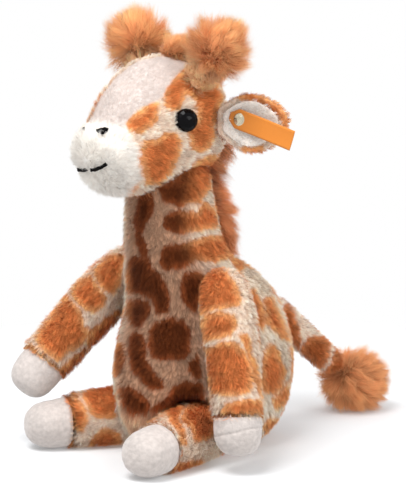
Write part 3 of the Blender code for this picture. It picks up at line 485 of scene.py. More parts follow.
def combed(roots, normals, lengths, wanted, lift, swirl, spread, segments, rng):
    """Strands from their roots, in segments, leaning the wanted way and rising by lift."""
    flat = unit(wanted - normals * np.sum(wanted * normals, axis=1, keepdims=True))
    turn = np.radians(swirl) * (wobble(roots, 0.045, 7.0) + 0.6 * wobble(roots, 0.013, 9.0))
    side = np.cross(normals, flat)
    flat = flat * np.cos(turn)[:, None] + side * np.sin(turn)[:, None]
    rise = 1 + 0.25 * wobble(roots, 0.011, 5.0)
    line = [roots - normals * ROOT_SINK]
    for index in range(segments):
        share = index / max(segments - 1, 1)
        angle = np.radians(lift[0] + (lift[1] - lift[0]) * share) * rise
        way = flat * np.cos(angle)[:, None] + normals * np.sin(angle)[:, None]
        way = unit(way + rng.normal(0, spread, (len(roots), 3)))
        line.append(line[-1] + way * (lengths / segments)[:, None])
    return np.stack(line, axis=1)


def clumped(line, roots, density, clump, pull, grain, rng):
    """Draws strands towards the leaders of their clumps, and gives each clump its own tone."""
    count, points = line.shape[:2]
    leaders = rng.choice(count, max(int(count / (density * (clump / MM) ** 2)), 1), replace=False)
    finder = KDTree(len(leaders))
    for index, leader in enumerate(leaders):
        finder.insert(Vector(roots[leader]), index)
    finder.balance()
    near = np.array([finder.find(Vector(root))[1] for root in roots])
    shares = np.linspace(0, 1, points) ** 1.4 * pull
    shares = shares[None, :, None] * rng.uniform(0.5, 1.2, (count, 1, 1))
    line = line + (line[leaders[near]] - line) * np.clip(shares, 0, 0.95)
    return line, rng.uniform(1 - grain, 1 + grain, len(leaders))[near]


def keep_clear(line, bare):
    """Lays down strands that reach into a bare part, and pushes others out of the hooves."""
    hooves = tree_of(HOOVES)
    for strand in line:
        tip = Vector(strand[-1])
        hit, out, _, _ = bare.find_nearest(tip, SEARCH_REACH)
        if hit is not None and (tip - hit).dot(out) < LAID_CLEARANCE:
            strand[:] = strand[:1] + (strand - strand[:1]) * LAID_SHARE
        elif hooves.find_nearest(tip, SEARCH_REACH)[0] is not None:
            for joint in range(len(strand)):
                place = Vector(strand[joint])
                hit, out, _, _ = hooves.find_nearest(place, 2 * SEARCH_REACH)
                if hit is not None and (place - hit).dot(out) < HOOF_CLEARANCE:
                    strand[joint] = hit + out * (HOOF_CLEARANCE + HOOF_STEP * joint)


def pile(name, base, body, owners, density, length, comb, colour, seed, lift=(66, 30),
         width=0.17 * MM, clump=2.2 * MM, pull=0.6, spread=0.22, segments=2, root_shade=0.56,
         tip_shade=1.24, swirl=30, grain=0.24, material=None, longest=1.2, shortest=0.7):
    """Grows tapered ribbons on a cover. density is per square millimetre, lift in degrees."""
    rng = np.random.default_rng(seed)
    area = sum(face.area for face in base.data.polygons)
    count = int(area / MM ** 2 * density)
    roots, normals = sample(base.data, count, rng)
    lengths = length(roots, normals) * rng.uniform(shortest, longest, count)
    keep = lengths > SHORTEST_STRAND
    roots, normals, lengths = roots[keep], normals[keep], lengths[keep]
    others = tree_of([node for node in NODES if node not in owners])
    bare = tree_of(BARE_NODES)
    free = clear_of(roots, bare, BARE_CLEARANCE) & clear_of(roots, others, SOLID_CLEARANCE)
    roots, normals, lengths = roots[free], normals[free], lengths[free]
    count = len(roots)
    wanted = comb(roots, normals)
    line = combed(roots, normals, lengths, wanted, lift, swirl, spread, segments, rng)
    line, tone = clumped(line, roots, density, clump, pull, grain, rng)
    keep_clear(line, bare)
    ground = FLOOR_CLEARANCE + rng.uniform(0, 0.5, (count, 1)) * MM
    line[:, :, 2] = np.maximum(line[:, :, 2], ground)
    colours = colour((line[:, 0] + line[:, -1]) / 2, normals)
    colours = colours * (tone * rng.uniform(1 - grain, 1 + grain, count))[:, None]
    middle = unit(line[:, -1] - line[:, 0])
    across = unit(np.cross(middle, normals + rng.normal(0, 0.3, (count, 3))))
    upward = unit(normals - middle * np.sum(normals * middle, axis=1, keepdims=True))
    facing = unit(0.65 * normals + 0.35 * upward + rng.normal(0, 0.06, (count, 3)))
    parts = 1 + count * (2 * segments - 1) // STRAND_TRIANGLES
    for part in range(parts):
        chosen = slice(part, None, parts)
        label = name if parts == 1 else "%s_%d" % (name, part + 1)
        ribbons(label, line[chosen], across[chosen], facing[chosen], colours[chosen], width,
                (root_shade, tip_shade), body, material or PILE_MATERIAL)


def ribbons(name, line, across, facing, colours, width, shading, body, material):
    """One mesh of tapered strands, each with its own colour and the normals of the cloth."""
    count, points = line.shape[:2]
    last = points - 1
    per = 2 * last + 1
    places = np.empty((count, per, 3))
    shades = np.empty((per, 3))
    for index in range(last):
        half = width / 2 * (1 - WIDTH_TAPER * index / last)
        # Painted shade at each strand's root, rising to painted light at its tip
        shade = shading[0] + (shading[1] - shading[0]) * index / last
        places[:, 2 * index] = line[:, index] - across * half
        places[:, 2 * index + 1] = line[:, index] + across * half
        shades[2 * index:2 * index + 2] = shade ** ROOT_TINT
    places[:, -1] = line[:, last]
    shades[-1] = shading[1]
    corners = [(2 * i, 2 * i + 1, 2 * i + 3, 2 * i + 2) for i in range(last - 1)]
    corners.append((2 * last - 2, 2 * last - 1, 2 * last))
    starts = np.arange(count)[:, None] * per
    loops = np.concatenate([starts + np.array(face)[None, :] for face in corners], axis=1).ravel()
    sizes = np.tile(np.array([len(face) for face in corners]), count)
    firsts = np.concatenate([[0], np.cumsum(sizes)[:-1]])
    mesh = bpy.data.meshes.new(name)
    mesh.vertices.add(count * per)
    mesh.vertices.foreach_set("co", places.ravel())
    mesh.loops.add(len(loops))
    mesh.loops.foreach_set("vertex_index", loops.astype(np.int32))
    mesh.polygons.add(len(sizes))
    mesh.polygons.foreach_set("loop_start", firsts.astype(np.int32))
    mesh.update(calc_edges=True)
    mesh.shade_smooth()
    paint(mesh, np.minimum(colours[:, None, :] * shades[None, :, :], 0.98).reshape(-1, 3))
    mesh.normals_split_custom_set_from_vertices(np.repeat(facing, per, axis=0))
    mesh.materials.append(material)
    made = new_object(name, mesh)
    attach(made, body)


# Materials

def feed(tree, made, inputs):
    """Gives a node's inputs values, or outputs of other nodes to follow."""
    for name, value in inputs.items():
        if isinstance(value, bpy.types.NodeSocket):
            tree.links.new(value, made.inputs[name])
        else:
            made.inputs[name].default_value = value


def add_node(tree, kind, inputs, operation=None):
    made = tree.nodes.new("ShaderNode" + kind)
    if operation:
        made.operation = operation
    feed(tree, made, inputs)
    return made


def node_material(name, roughness, metallic=0.0, sheen=0.0, specular=0.3):
    made = bpy.data.materials.new(name)
    made.use_nodes = True
    shader = made.node_tree.nodes["Principled BSDF"]
    feed(made.node_tree, shader, {"Roughness": roughness, "Metallic": metallic,
                                  "Sheen Weight": sheen, "Specular IOR Level": specular})
    return made, made.node_tree, shader


def own_space(tree):
    return add_node(tree, "TexCoord", {}).outputs["Object"]


def noise(tree, scale, detail=3.0, place=None):
    """Noise, by default over the object's own space; scale is in cells per metre."""
    made = add_node(tree, "TexNoise", {"Scale": scale, "Detail": detail,
                                       "Vector": place or own_space(tree)})
    return made.outputs["Fac"]


def ramp(tree, source, low, high, from_low=0.35, from_high=0.65):
    made = add_node(tree, "MapRange", {"Value": source, "From Min": from_low,
                                       "From Max": from_high, "To Min": low, "To Max": high})
    return made.outputs["Result"]


def maths(tree, operation, first, second):
    return add_node(tree, "Math", {0: first, 1: second}, operation).outputs[0]


def scaled(tree, colour, factor):
    made = add_node(tree, "VectorMath", {0: colour, "Scale": factor}, "SCALE")
    return made.outputs["Vector"]


def bump(tree, shader, height, strength, distance):
    made = add_node(tree, "Bump", {"Height": height, "Strength": strength, "Distance": distance})
    feed(tree, shader, {"Normal": made.outputs["Normal"]})


def mix_surface(tree, share, first, second):
    """Mixes two shaders for the material; share is the second one's."""
    mix = add_node(tree, "MixShader", {"Fac": share, 1: first, 2: second})
    feed(tree, tree.nodes["Material Output"], {"Surface": mix.outputs["Shader"]})


def clouded(tree, shader, colour, scale, low, high):
    """Gives the shader a colour, or else the one that paint() stored, varied by noise."""
    if colour is None:
        stored = add_node(tree, "Attribute", {})
        stored.attribute_name = "pile"
        colour = stored.outputs["Color"]
    made = scaled(tree, colour, ramp(tree, noise(tree, scale), low, high))
    feed(tree, shader, {"Base Color": made})
    return made


def pile_material(name, through_share):
    """Fibres, which let some of the light through."""
    made, tree, shader = node_material(name, roughness=0.8, sheen=0.1, specular=0.12)
    tinted = clouded(tree, shader, None, 90, 0.95, 1.05)
    through = add_node(tree, "BsdfTranslucent", {"Color": tinted})
    mix_surface(tree, through_share, shader.outputs["BSDF"], through.outputs["BSDF"])
    return made


def backing_material():
    """The knitted ground under the pile, with painted shade: darker than the pile's colour."""
    made, tree, shader = node_material("backing", roughness=0.95, sheen=0.1, specular=0.1)
    # Painted shade: the stored colour at 0.72 to 0.92 of its brightness
    clouded(tree, shader, None, 900, 0.72, 0.92)
    bump(tree, shader, noise(tree, 1500, 2), 0.5, 0.4 * MM)
    return made


def suede_material():
    """Brushed suede: a short nap, mottled where it lies in different ways."""
    made, tree, shader = node_material("suede", roughness=0.92, sheen=0.3, specular=0.15)
    place = own_space(tree)
    cloud = ramp(tree, noise(tree, 60, 4, place), 0.94, 1.04)
    brushed = ramp(tree, noise(tree, 420, 5, place), 0.9, 1.08)
    tone = maths(tree, "MULTIPLY", cloud, brushed)
    feed(tree, shader, {"Base Color": scaled(tree, SUEDE, tone)})
    bump(tree, shader, noise(tree, 700, 6, place), 0.6, 0.7 * MM)
    return made


def black_material(name, colour, roughness, specular, scale, low, high):
    made, tree, shader = node_material(name, roughness, specular=specular)
    clouded(tree, shader, colour, scale, low, high)
    return made


def metal_material():
    """Plated metal, a little dulled."""
    made, tree, shader = node_material("rivet", roughness=0.24, metallic=1.0)
    place = own_space(tree)
    cloud = ramp(tree, noise(tree, 500, 4, place), 0.8, 1.05)
    dulled = ramp(tree, noise(tree, 1200, 3, place), 0.18, 0.36)
    feed(tree, shader, {"Base Color": scaled(tree, METAL, cloud), "Roughness": dulled})
    return made


def ribbon_material():
    """Woven ribbon, with painted shade darkening it towards its inner end."""
    made, tree, shader = node_material("ribbon", roughness=0.62, sheen=0.2)
    place = add_node(tree, "UVMap", {}).outputs["UV"]
    waves = []
    for direction in ("X", "Y"):
        wave = add_node(tree, "TexWave", {"Vector": place, "Scale": 8, "Distortion": 0.4})
        wave.bands_direction = direction
        waves.append(wave.outputs["Fac"])
    weave = maths(tree, "MAXIMUM", *waves)
    shade = ramp(tree, weave, 0.86, 1.06, 0, 1)
    split = add_node(tree, "SeparateXYZ", {"Vector": place})
    # Painted shade, darker towards the ribbon's inner end by the ear
    deeper = ramp(tree, split.outputs["X"], 0.72, 1.0, 0, 2.2)
    weave_and_shade = maths(tree, "MULTIPLY", shade, deeper)
    feed(tree, shader, {"Base Color": scaled(tree, RIBBON, weave_and_shade)})
    bump(tree, shader, weave, 0.5, 0.12 * MM)
    return made


PILE_MATERIAL = pile_material("pile", 0.4)
LONG_PILE_MATERIAL = pile_material("long_pile", 0.45)
BACKING_MATERIAL = backing_material()
SUEDE_MATERIAL = suede_material()
EYE_MATERIAL = black_material("eye", EYE, 0.12, 0.09, 300, 0.8, 1.2)
METAL_MATERIAL = metal_material()
RIBBON_MATERIAL = ribbon_material()
THREAD_MATERIAL = black_material("thread", THREAD, 0.8, 0.08, 1500, 0.6, 1.6)


# Covers and their pile

MANE_STYLE = {"width": 0.24 * MM, "clump": 2.8 * MM, "pull": 0.5, "spread": 0.25, "segments": 3,
              "root_shade": 0.6, "material": LONG_PILE_MATERIAL}
WHITE_STYLE = {"clump": 2.6 * MM, "grain": 0.03}
# How far the back's pale seam reaches aside, in pixels of the photograph
SEAM_REACH = 1.1


def seeds_on(mesh, spacing, seed):
    """Points on a mesh, spacing apart or more, and one far off, so there are always two."""
    points, _ = sample(mesh, 4000, np.random.default_rng(seed))
    kept = [points[0], points[0] + 1]
    for point in points[1:]:
        if min(np.linalg.norm(np.array(kept) - point, axis=1)) > spacing:
            kept.append(point)
    return np.array(kept)


def two_tone(mark, brown=BROWN, deep=BROWN_DEEP, cream=CREAM):
    """Colour function: cream with feathered brown markings that are deeper in their middles."""
    def colour(points, normals):
        depth = mark(points, normals)
        share = ease(depth, *MARK_EDGE)[:, None]
        reach, wave = MIDDLE_WANDER
        middle = ease(depth + reach * wobble(points, wave, 2.0), *MARK_MIDDLE)[:, None]
        tone = brown * (1 - middle) + deep * middle
        return cream * (1 - share) + tone * share
    return colour


def always(value):
    """A colour, length or comb function with the same value everywhere."""
    def same(points, normals):
        return np.full((len(points), *np.shape(value)), value, float)
    return same


def radial(*droop):
    """Combs outwards a little, and along droop."""
    def comb(points, normals):
        return normals * 0.2 + np.array(droop, float)
    return comb


def away_from(place, *droop):
    """Combs from a point outwards over a form."""
    def comb(points, normals):
        return unit(points - np.array(place)) + np.array(droop, float)
    return comb


def strip(length, half, facing, bottom, top=1):
    """Length function: a strip down the back, no higher than top."""
    def lengths(points, normals):
        x, _, z = points.T
        across = ease(half - np.abs(x), 0, 3 * MM)
        share = across * ease(normals[:, 1], *facing)
        return length * share * ease(z, *bottom) * ease(top - z, 0, 6 * MM)
    return lengths


def finish_cover(made, body, nodes, colour, material=BACKING_MATERIAL):
    places, normals = vertex_arrays(made.data)
    paint(made.data, colour(places, normals))
    dress_in(made, material)
    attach(made, body)
    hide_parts(*nodes)


def dress_torso():
    made = cover("torso_cover", ["body_skin"], voxel=1.8 * MM, inset=1.3 * MM)
    mark = marking(TORSO_MARKS, seeds_on(made.data, 21 * MM, 11), mirrored=True)
    rear = two_tone(mark)
    # The markings again in painted shade, for the front of the body
    front = two_tone(mark, SHADED_FRONT_BROWN, SHADED_FRONT_DEEP, SHADED_FRONT_CREAM)

    def length(points, normals):
        """Shorter on the neck, and longer in the lap."""
        _, y, z = points.T
        neck = ease(z, 0.10, 0.14)
        lap = ease(0.034 - z, 0, 0.01) * ease(-y, 0, 0.02)
        return (4.5 - 0.8 * neck + 5 * lap) * MM

    def colour(points, normals):
        """Painted shade: darker on the front of the body, which the head shades, than on its back
        and sides.
        """
        turned = -(normals @ RIGHT) + 0.15 * wobble(points, 0.05, 2.0)
        share = ease(turned, -0.85, -0.15) * ease(normals[:, 0], -0.7, -0.1)
        share = (share * ease(-normals[:, 1], -0.5, 0.1))[:, None]
        tone = front(points, normals) * share + rear(points, normals) * (1 - share)
        _, y, z = points.T
        # Painted light in the lap lifts the colour there, against the shade of the crease
        lap = ease(0.05 - z, 0, 0.03) * ease(-y, -0.01, 0.02)
        tone = np.minimum(tone * (1 + 0.4 * lap[:, None]), 0.95)
        seam = np.exp(-(line_distance(*to_photo(points), BACK_SEAM) / SEAM_REACH) ** 2)
        return tone + (SEAM - tone) * (seam * (normals @ BACK > -0.1))[:, None]

    finish_cover(made, "torso", ["body_skin"], colour)
    pile("torso_pile", made, "torso", ["body_skin", "seat_panel"], 5.2, length, always((0, 0, -1)),
         colour, seed=21)
    mane_length = strip(15 * MM, 11 * MM, (0.2, 0.4), (0.125, 0.135))
    pile("mane_pile", made, "torso", ["body_skin", "neck_mane"], 6, mane_length,
         radial(0, 0.2, -0.6), always(MANE), seed=20, lift=(74, 42), **MANE_STYLE)


def dress_head():
    nodes = ["head", "muzzle", "forehead_panel"]
    made = cover("head_cover", nodes, voxel=1.5 * MM, inset=1.0 * MM)
    fur = two_tone(marking(HEAD_MARKS, seeds_on(made.data, 19 * MM, 12), mirrored=True))

    def white_share(points, normals):
        """White on muzzle and forehead panel, whose right edge runs along the head's ridge."""
        near = points.copy()
        near[:, 0] = np.abs(near[:, 0])
        inside = inside_outline(*to_photo(near), WHITE_OUTLINE)
        share = ease(inside + wobble(points, 0.008, 1.0), -1.2, 1.2)
        ridge = ease(normals @ BACK + 0.06 * wobble(points, 0.009, 4.0), 0.12, 0.22)
        beyond = (points[:, 0] < 0) * ease(points[:, 2], 0.184, 0.192)
        return share * (1 - beyond * (1 - ridge))

    def below_bridge(points):
        """How far below the seam between panel and muzzle, in metres."""
        return 0.192 - points[:, 2] - 0.35 * (points[:, 1] + 0.08)

    def colour(points, normals):
        white = white_share(points, normals)[:, None]
        front = ease(below_bridge(points), -0.004, 0.004)[:, None]
        return fur(points, normals) * (1 - white) + (PANEL * (1 - front) + WHITE * front) * white

    def fur_length(points, normals):
        return 4.0 * MM * (white_share(points, normals) < 0.5)

    def on_muzzle(points):
        return ease(below_bridge(points), 0, 0.008) > 0.5

    def muzzle_length(points, normals):
        """The muzzle's pile is clipped short around its sewn lines."""
        clipped = np.ones(len(points))
        for flip, lines in ((1, (MOUTH_LINE, NOSTRIL_LINE)), (-1 / FAR_SPREAD, (NOSTRIL_LINE,))):
            side = np.array((flip, 1, 1))
            x, y = to_photo(points * side)
            near = np.min([line_distance(x, y, line) for line in lines], axis=0)
            facing = (normals * side) @ BACK > 0
            short = np.minimum(clipped, ease(near, 1, 4))
            clipped = np.where(facing, short, clipped)
        white = white_share(points, normals) >= 0.5
        return (2.2 + 2.6 * clipped) * MM * white * on_muzzle(points)

    def panel_length(points, normals):
        return 2.2 * MM * (white_share(points, normals) >= 0.5) * ~on_muzzle(points)

    def comb(points, normals):
        """Backwards, and up over the forehead."""
        up = ease(-points[:, 1], 0.035, 0.085)[:, None] * np.array((0, 0.3, 0.6))
        return np.array((0, 1.0, -0.1)) + up

    def bulge(places, y, z, reach):
        """A share that falls off from a line across the head."""
        return np.exp(-((places[:, 1] - y) ** 2 + (places[:, 2] - z) ** 2) / reach ** 2)

    places, _ = vertex_arrays(made.data)
    bridge = bulge(places, -0.080, 0.193, 11 * MM)
    nose = bulge(places, -0.094, 0.174, 12 * MM)
    move_out(made, 1.2 * MM * nose - 4.6 * MM * bridge)
    finish_cover(made, "head", nodes, colour)
    pile("head_pile", made, "head", nodes, 5.6, fur_length, comb, colour, seed=22,
         root_shade=0.62)
    pile("muzzle_pile", made, "head", nodes, 6, muzzle_length, comb, colour, seed=23,
         width=0.16 * MM, lift=(58, 30), pull=0.5, root_shade=0.94, tip_shade=1.04,
         **WHITE_STYLE)
    pile("panel_pile", made, "head", nodes, 7, panel_length, comb, colour, seed=25,
         width=0.14 * MM, lift=(46, 14), pull=0.25, root_shade=0.9, tip_shade=1.02,
         **WHITE_STYLE)
    nape_length = strip(21 * MM, 10 * MM, (0.15, 0.4), (0.140, 0.146), 0.182)
    pile("nape_pile", made, "head", nodes, 7, nape_length, radial(0, 0.8, -0.6), always(MANE),
         seed=24, lift=(74, 44), **MANE_STYLE)
    return made


def dress_limb(node, others, body, marks, way, seed, length=4.4, lift=(66, 30), inset=1.0,
               colours=(BROWN, BROWN_DEEP), voxel=1.6, root_shade=0.56):
    """A limb, horn or ear, whose pile may meet the other nodes."""
    made = cover(node + "_cover", [node], voxel * MM, inset * MM)
    colour = two_tone(marking(marks, seeds_on(made.data, 19 * MM, seed)), *colours)
    finish_cover(made, body, [node], colour)
    pile(node + "_pile", made, body, [node, *others], 5.2, always(length * MM), always(way),
         colour, seed=seed, lift=lift, root_shade=root_shade)
    return colour


def dress_hoof(hoof, limb, lines, way, colour):
    """A suede hoof, drawn in at seam and sewn lines, with the limb's pile over its edge."""
    made = cover(hoof + "_cover", [hoof], 0.7 * MM, 0.5 * MM, rounds=10)
    places, normals = vertex_arrays(made.data)
    x, y = to_photo(places)
    depth = 0.3 * MM * wobble(places, 0.019, 3.0) + 0.12 * MM * wobble(places, 0.006, 6.0)
    seam = tree_of([limb])
    near = np.array([seam.find_nearest(Vector(place))[3] for place in places])
    depth -= 1.3 * MM * np.exp(-(near / (2.2 * MM)) ** 2)
    for line in lines:
        depth -= 0.6 * MM * np.exp(-line_distance(x, y, line) ** 2) * (normals @ BACK > 0)
    move_out(made, depth)
    finish_cover(made, limb, [hoof], always(SUEDE), SUEDE_MATERIAL)
    onward = unit(np.array([way], float))[0]

    def length(points, normals):
        return 3.6 * MM * ~clear_of(points, seam, 2.2 * MM) * (np.abs(normals @ onward) < 0.7)

    pile(hoof + "_edge_pile", made, limb, [hoof, limb], 6, length, always(way), colour, seed=51)


def dress_ball(node, others, body, inset, length, density, seed, comb, lift=(75, 50),
               colour=MANE, spread=0.3, voxel=1.2, foot=None):
    """Long pile on a small core: a pompom, tuft or mane."""
    made = cover(node + "_core", [node], voxel * MM, inset * MM, rounds=4)

    def tone(points, normals):
        """Paler near the foot, where the stalk's own pile is drawn up over it."""
        if foot is None:
            return always(colour)(points, normals)
        reach = 14 * MM - np.linalg.norm(points - foot, axis=1)
        share = ease(reach, 0, 6 * MM)[:, None]
        return colour * (1 - share) + STALK * share

    # Painted shade: the core under the long pile is darker than the pile
    finish_cover(made, body, [node], always(colour * 0.6))
    pile(node + "_pile", made, body, [node, *others], density, always(length * MM), comb, tone,
         seed=seed, lift=lift, clump=3.0 * MM, pull=0.62, spread=spread, segments=3,
         root_shade=0.84, tip_shade=1.12, grain=0.14, material=LONG_PILE_MATERIAL, longest=1.35,
         shortest=0.55)


def sewn_places(line, surface, rise, mirrored):
    """Places a little over a form along a line of the photograph, and normals there."""
    tree = BVHTree.FromObject(surface, bpy.context.evaluated_depsgraph_get())
    places = []
    for (x0, y0), (x1, y1) in zip(line, line[1:]):
        steps = max(int(np.hypot(x1 - x0, y1 - y0) / 1.2), 1)
        for step in range(steps + (x1 == line[-1][0])):
            share = step / steps
            origin, ray = photo_ray(x0 + (x1 - x0) * share, y0 + (y1 - y0) * share)
            hit, normal, _, _ = tree.ray_cast(origin, ray)
            if hit is not None and mirrored:
                opposite = Vector((-FAR_SPREAD * hit.x, hit.y, hit.z))
                hit, normal, _, _ = tree.find_nearest(opposite)
            if hit is not None:
                places.append((hit + normal * rise, normal))
    return places


def stitch(name, line, surface, radius, rise, mirrored=False):
    """Sewn thread over a form along a line of the photograph: three strands side by side."""
    rng = np.random.default_rng(len(line))
    places = sewn_places(line, surface, rise, mirrored)
    curve = bpy.data.curves.new(name, "CURVE")
    curve.dimensions = "3D"
    curve.bevel_depth = radius
    curve.bevel_resolution = 2
    curve.use_fill_caps = True
    for strand in (-1, 0, 1):
        spline = curve.splines.new("POLY")
        spline.points.add(len(places) - 1)
        for index, (place, normal) in enumerate(places):
            after = places[min(index + 1, len(places) - 1)][0]
            onward = after - places[max(index - 1, 0)][0]
            aside = onward.cross(normal).normalized() * (strand * radius * 1.3)
            sway = Vector(rng.normal(0, radius * 0.25, 3))
            crest = normal * (radius * 0.5 * (strand == 0))
            spline.points[index].co = (*(place + aside + sway + crest), 1)
    drawn = new_object(name + "_line", curve)
    made = new_object(name, mesh_of(drawn))
    bpy.data.objects.remove(drawn)
    dress_in(made, THREAD_MATERIAL)
    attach(made, "head")


def dress_tag():
    """The ribbon, woven, a little curled, its outer end cut straight and its inner end pointed."""
    node = NODES["ear_tag"]
    places = np.array([tuple(node.matrix_world @ v.co) for v in node.data.vertices])
    middle = places.mean(axis=0)
    _, _, axes = np.linalg.svd(places - middle)
    run, across, out = (axis * np.sign(axis @ way) for axis, way in zip(axes, (RIGHT, UP, BACK)))
    reach = (places - middle) @ run
    length = float(reach.max() - reach.min())
    half = np.abs((places - middle) @ across).max()
    level = ((places - middle) @ out).max() - 0.25 * MM
    columns, rows = 40, 10
    mesh = bmesh.new()
    layer = mesh.loops.layers.uv.new("UVMap")
    grid = []
    for column in range(columns + 1):
        share = column / columns
        narrow = min(1, 0.35 + share / 0.12 * 0.65)
        curl = 1.5 * MM * share ** 2 + 0.25 * MM * sin(share * 9)
        line = []
        for row in range(rows + 1):
            side = 2 * row / rows - 1
            place = middle + run * (reach.min() + length * share)
            place = place + across * (side * half * narrow)
            place = place + out * (level + curl + 0.35 * MM * side * side * share)
            line.append(mesh.verts.new(place))
        grid.append(line)
    for column in range(columns):
        for row in range(rows):
            corners = ((column, row), (column + 1, row), (column + 1, row + 1), (column, row + 1))
            face = mesh.faces.new([grid[c][r] for c, r in corners])
            for loop, (c, r) in zip(face.loops, corners):
                loop[layer].uv = (c / columns * 4, r / rows)
    made = object_of("ear_ribbon", mesh)
    thick = made.modifiers.new("thick", "SOLIDIFY")
    thick.thickness = 0.45 * MM
    thick.offset = 0
    applied(made)
    dress_in(made, RIBBON_MATERIAL)
    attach(made, "ear_tag")
    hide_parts("ear_tag")


# Limb, its hoof, its markings, the way its pile lies, seed, pile length and inset, sewn lines
LIMBS = (
    ("arm_left", "hand_hoof_left", ARM_LEFT_MARKS, (0, 0, -1), 31, 4.4, 1.2,
     (((212, 437), (235, 433), (250, 429), (264, 427)), ((258, 414), (262, 430), (263, 444)))),
    ("arm_right", "hand_hoof_right", ARM_RIGHT_MARKS, (0, -0.7, -0.7), 32, 5.0, 0.5, ()),
    ("leg_left", "foot_hoof_left", LEG_LEFT_MARKS, (0.3, -1, 0), 33, 4.4, 1.0, ()),
    ("leg_right", "foot_hoof_right", LEG_RIGHT_MARKS, (-0.4, -1, 0), 34, 4.4, 1.0, ()),
)


def dress_limbs():
    for limb, hoof, marks, way, seed, length, inset, lines in LIMBS:
        tone = dress_limb(limb, [hoof], limb, marks, way, seed, length, inset=inset)
        dress_hoof(hoof, limb, lines, way, tone)
    dress_limb("tail", ["tail_tuft"], "tail", TAIL_MARKS, (0, 0.74, -0.67), 35, length=4,
               colours=(TAIL_BROWN, TAIL_DEEP))


def middle_of(node):
    low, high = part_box(node)
    return (np.array(low) + np.array(high)) / 2


def dress_horn(side, outward):
    horn, pompom = "horn_" + side, "horn_pompom_" + side
    ball = middle_of(pompom)
    foot = ball + unit((middle_of(horn) - ball)[None])[0] * 12 * MM
    dress_ball(pompom, [horn], "head", 6.5, 14, 15, 41, away_from(foot, 0, 0, 0), lift=(70, 52),
               colour=PILE, voxel=1.6, foot=foot)
    dress_limb(horn, ["head", pompom], "head", (), (outward * 0.5, 0.2, 1), 43, length=7,
               colours=(STALK, STALK, STALK), lift=(62, 40), root_shade=0.85)


def dress_ear(side, outward):
    body, outer, lining = (part + side for part in ("ear_", "ear_outer_", "ear_lining_"))
    dress_limb(outer, [lining], body, EAR_MARKS, (outward, 0.6, 0), 45, length=3.0, inset=0.2,
               voxel=0.8)
    made = cover(lining + "_cover", [lining], 0.5 * MM, 0)
    finish_cover(made, body, [lining], always(LINING))
    pile(lining + "_pile", made, body, [lining, outer], 5, always(3.2 * MM),
         always((outward, 0.6, 0)), always(LINING), seed=46, lift=(66, 38), clump=1.8 * MM,
         root_shade=0.9, grain=0.05)


def dress_manes():
    low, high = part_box("tail")
    root = (0, high.y - 4 * MM, low.z + 8 * MM)
    dress_ball("tail_tuft", ["tail"], "tail", 8, 13.5, 12, 47, away_from(root, 0, 0.25, 0),
               lift=(58, 40), colour=TUFT, spread=0.22, voxel=1.6)
    dress_ball("neck_mane", ["body_skin"], "torso", 1.8, 13, 10, 48, radial(0, 0.2, -0.7),
               lift=(70, 28))
    dress_ball("head_mane", ["head", "forehead_panel"], "head", 0.8, 8, 12, 49,
               radial(0, 0.6, 0.3), colour=PILE)


def sew_face(surface):
    for side, mirrored, rise in (("left", False, 1.9 * MM), ("right", True, 0.7 * MM)):
        stitch("nostril_" + side, NOSTRIL_LINE, surface, 0.5 * MM, rise, mirrored)
        stitch("nostril_low_" + side, NOSTRIL_LOW_LINE, surface, 0.45 * MM, rise, mirrored)
    for side, line in (("left", MOUTH_LINE[:4]), ("right", MOUTH_LINE[4:])):
        stitch("mouth_" + side, line, surface, 0.45 * MM, 1.9 * MM)


# Nodes that nothing covers
UNCOVERED = (
    (EYE_MATERIAL, ("eye_left", "eye_right")),
    (METAL_MATERIAL, ("rivet_front", "rivet_back")),
    (SUEDE_MATERIAL, ("seat_panel", "bean_pouch", "eye_washer_left", "eye_washer_right")),
)


def dress_uncovered():
    for material, nodes in UNCOVERED:
        for node in nodes:
            for slot in NODES[node].material_slots:
                slot.material = material


# Floor and light

FLOOR = (0.745, 0.76, 0.775, 1)
LAMP_AIM = Vector((0, 0, 0.1))
LAMP_SIZE = 0.8


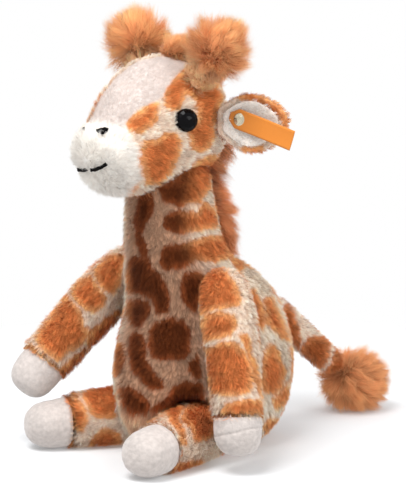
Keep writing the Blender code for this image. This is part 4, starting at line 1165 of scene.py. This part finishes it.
def make_floor():
    """Pale under the object, where it keeps the shadow, and white further out."""
    mesh = bpy.data.meshes.new("floor")
    mesh.from_pydata([(-4, -4, 0), (4, -4, 0), (4, 4, 0), (-4, 4, 0)], [], [(0, 1, 2, 3)])
    made = new_object("floor", mesh)
    material, tree, shader = node_material("floor", roughness=0.9, specular=0.5)
    feed(tree, shader, {"Base Color": FLOOR})
    glow = add_node(tree, "Emission", {})
    away = add_node(tree, "VectorMath", {0: own_space(tree)}, "LENGTH")
    fade = ramp(tree, away.outputs["Value"], 0.12, 1, 0.12, 0.36)
    rays = add_node(tree, "LightPath", {})
    bounce = ramp(tree, rays.outputs["Is Diffuse Ray"], 0, 0.5, 0, 1)
    share = maths(tree, "MAXIMUM", fade, bounce)
    mix_surface(tree, share, shader.outputs["BSDF"], glow.outputs["Emission"])
    mesh.materials.append(material)


def make_lamp(name, place, power):
    lamp = bpy.data.lights.new(name, "AREA")
    lamp.shape = "RECTANGLE"
    lamp.size = lamp.size_y = LAMP_SIZE
    lamp.energy = power
    aim(new_object(name, lamp), place, LAMP_AIM - Vector(place))


def make_world():
    """Soft light from all sides, and plain white where the camera, gloss or glass sees it."""
    world = bpy.data.worlds.new("world")
    world.use_nodes = True
    tree = world.node_tree
    rays = add_node(tree, "LightPath", {})
    seen = maths(tree, "MAXIMUM", rays.outputs["Is Camera Ray"], rays.outputs["Is Glossy Ray"])
    seen = maths(tree, "MAXIMUM", seen, rays.outputs["Is Transmission Ray"])
    feed(tree, tree.nodes["Background"], {"Color": (1, 1, 1, 1),
                                          "Strength": ramp(tree, seen, 0.82, 1.0, 0, 1)})
    bpy.context.scene.world = world


make_camera()
dress_torso()
head_cover = dress_head()
dress_limbs()
for name, outward_sign in (("left", 1), ("right", -1)):
    dress_horn(name, outward_sign)
    dress_ear(name, outward_sign)
dress_manes()
dress_tag()
sew_face(head_cover)
dress_uncovered()
make_floor()
make_world()
make_lamp("key", (0.15, -0.7, 1.5), 23)
make_lamp("fill", (1.4, 0.1, 0.9), 10)
bpy.context.scene.view_settings.view_transform = "Standard"
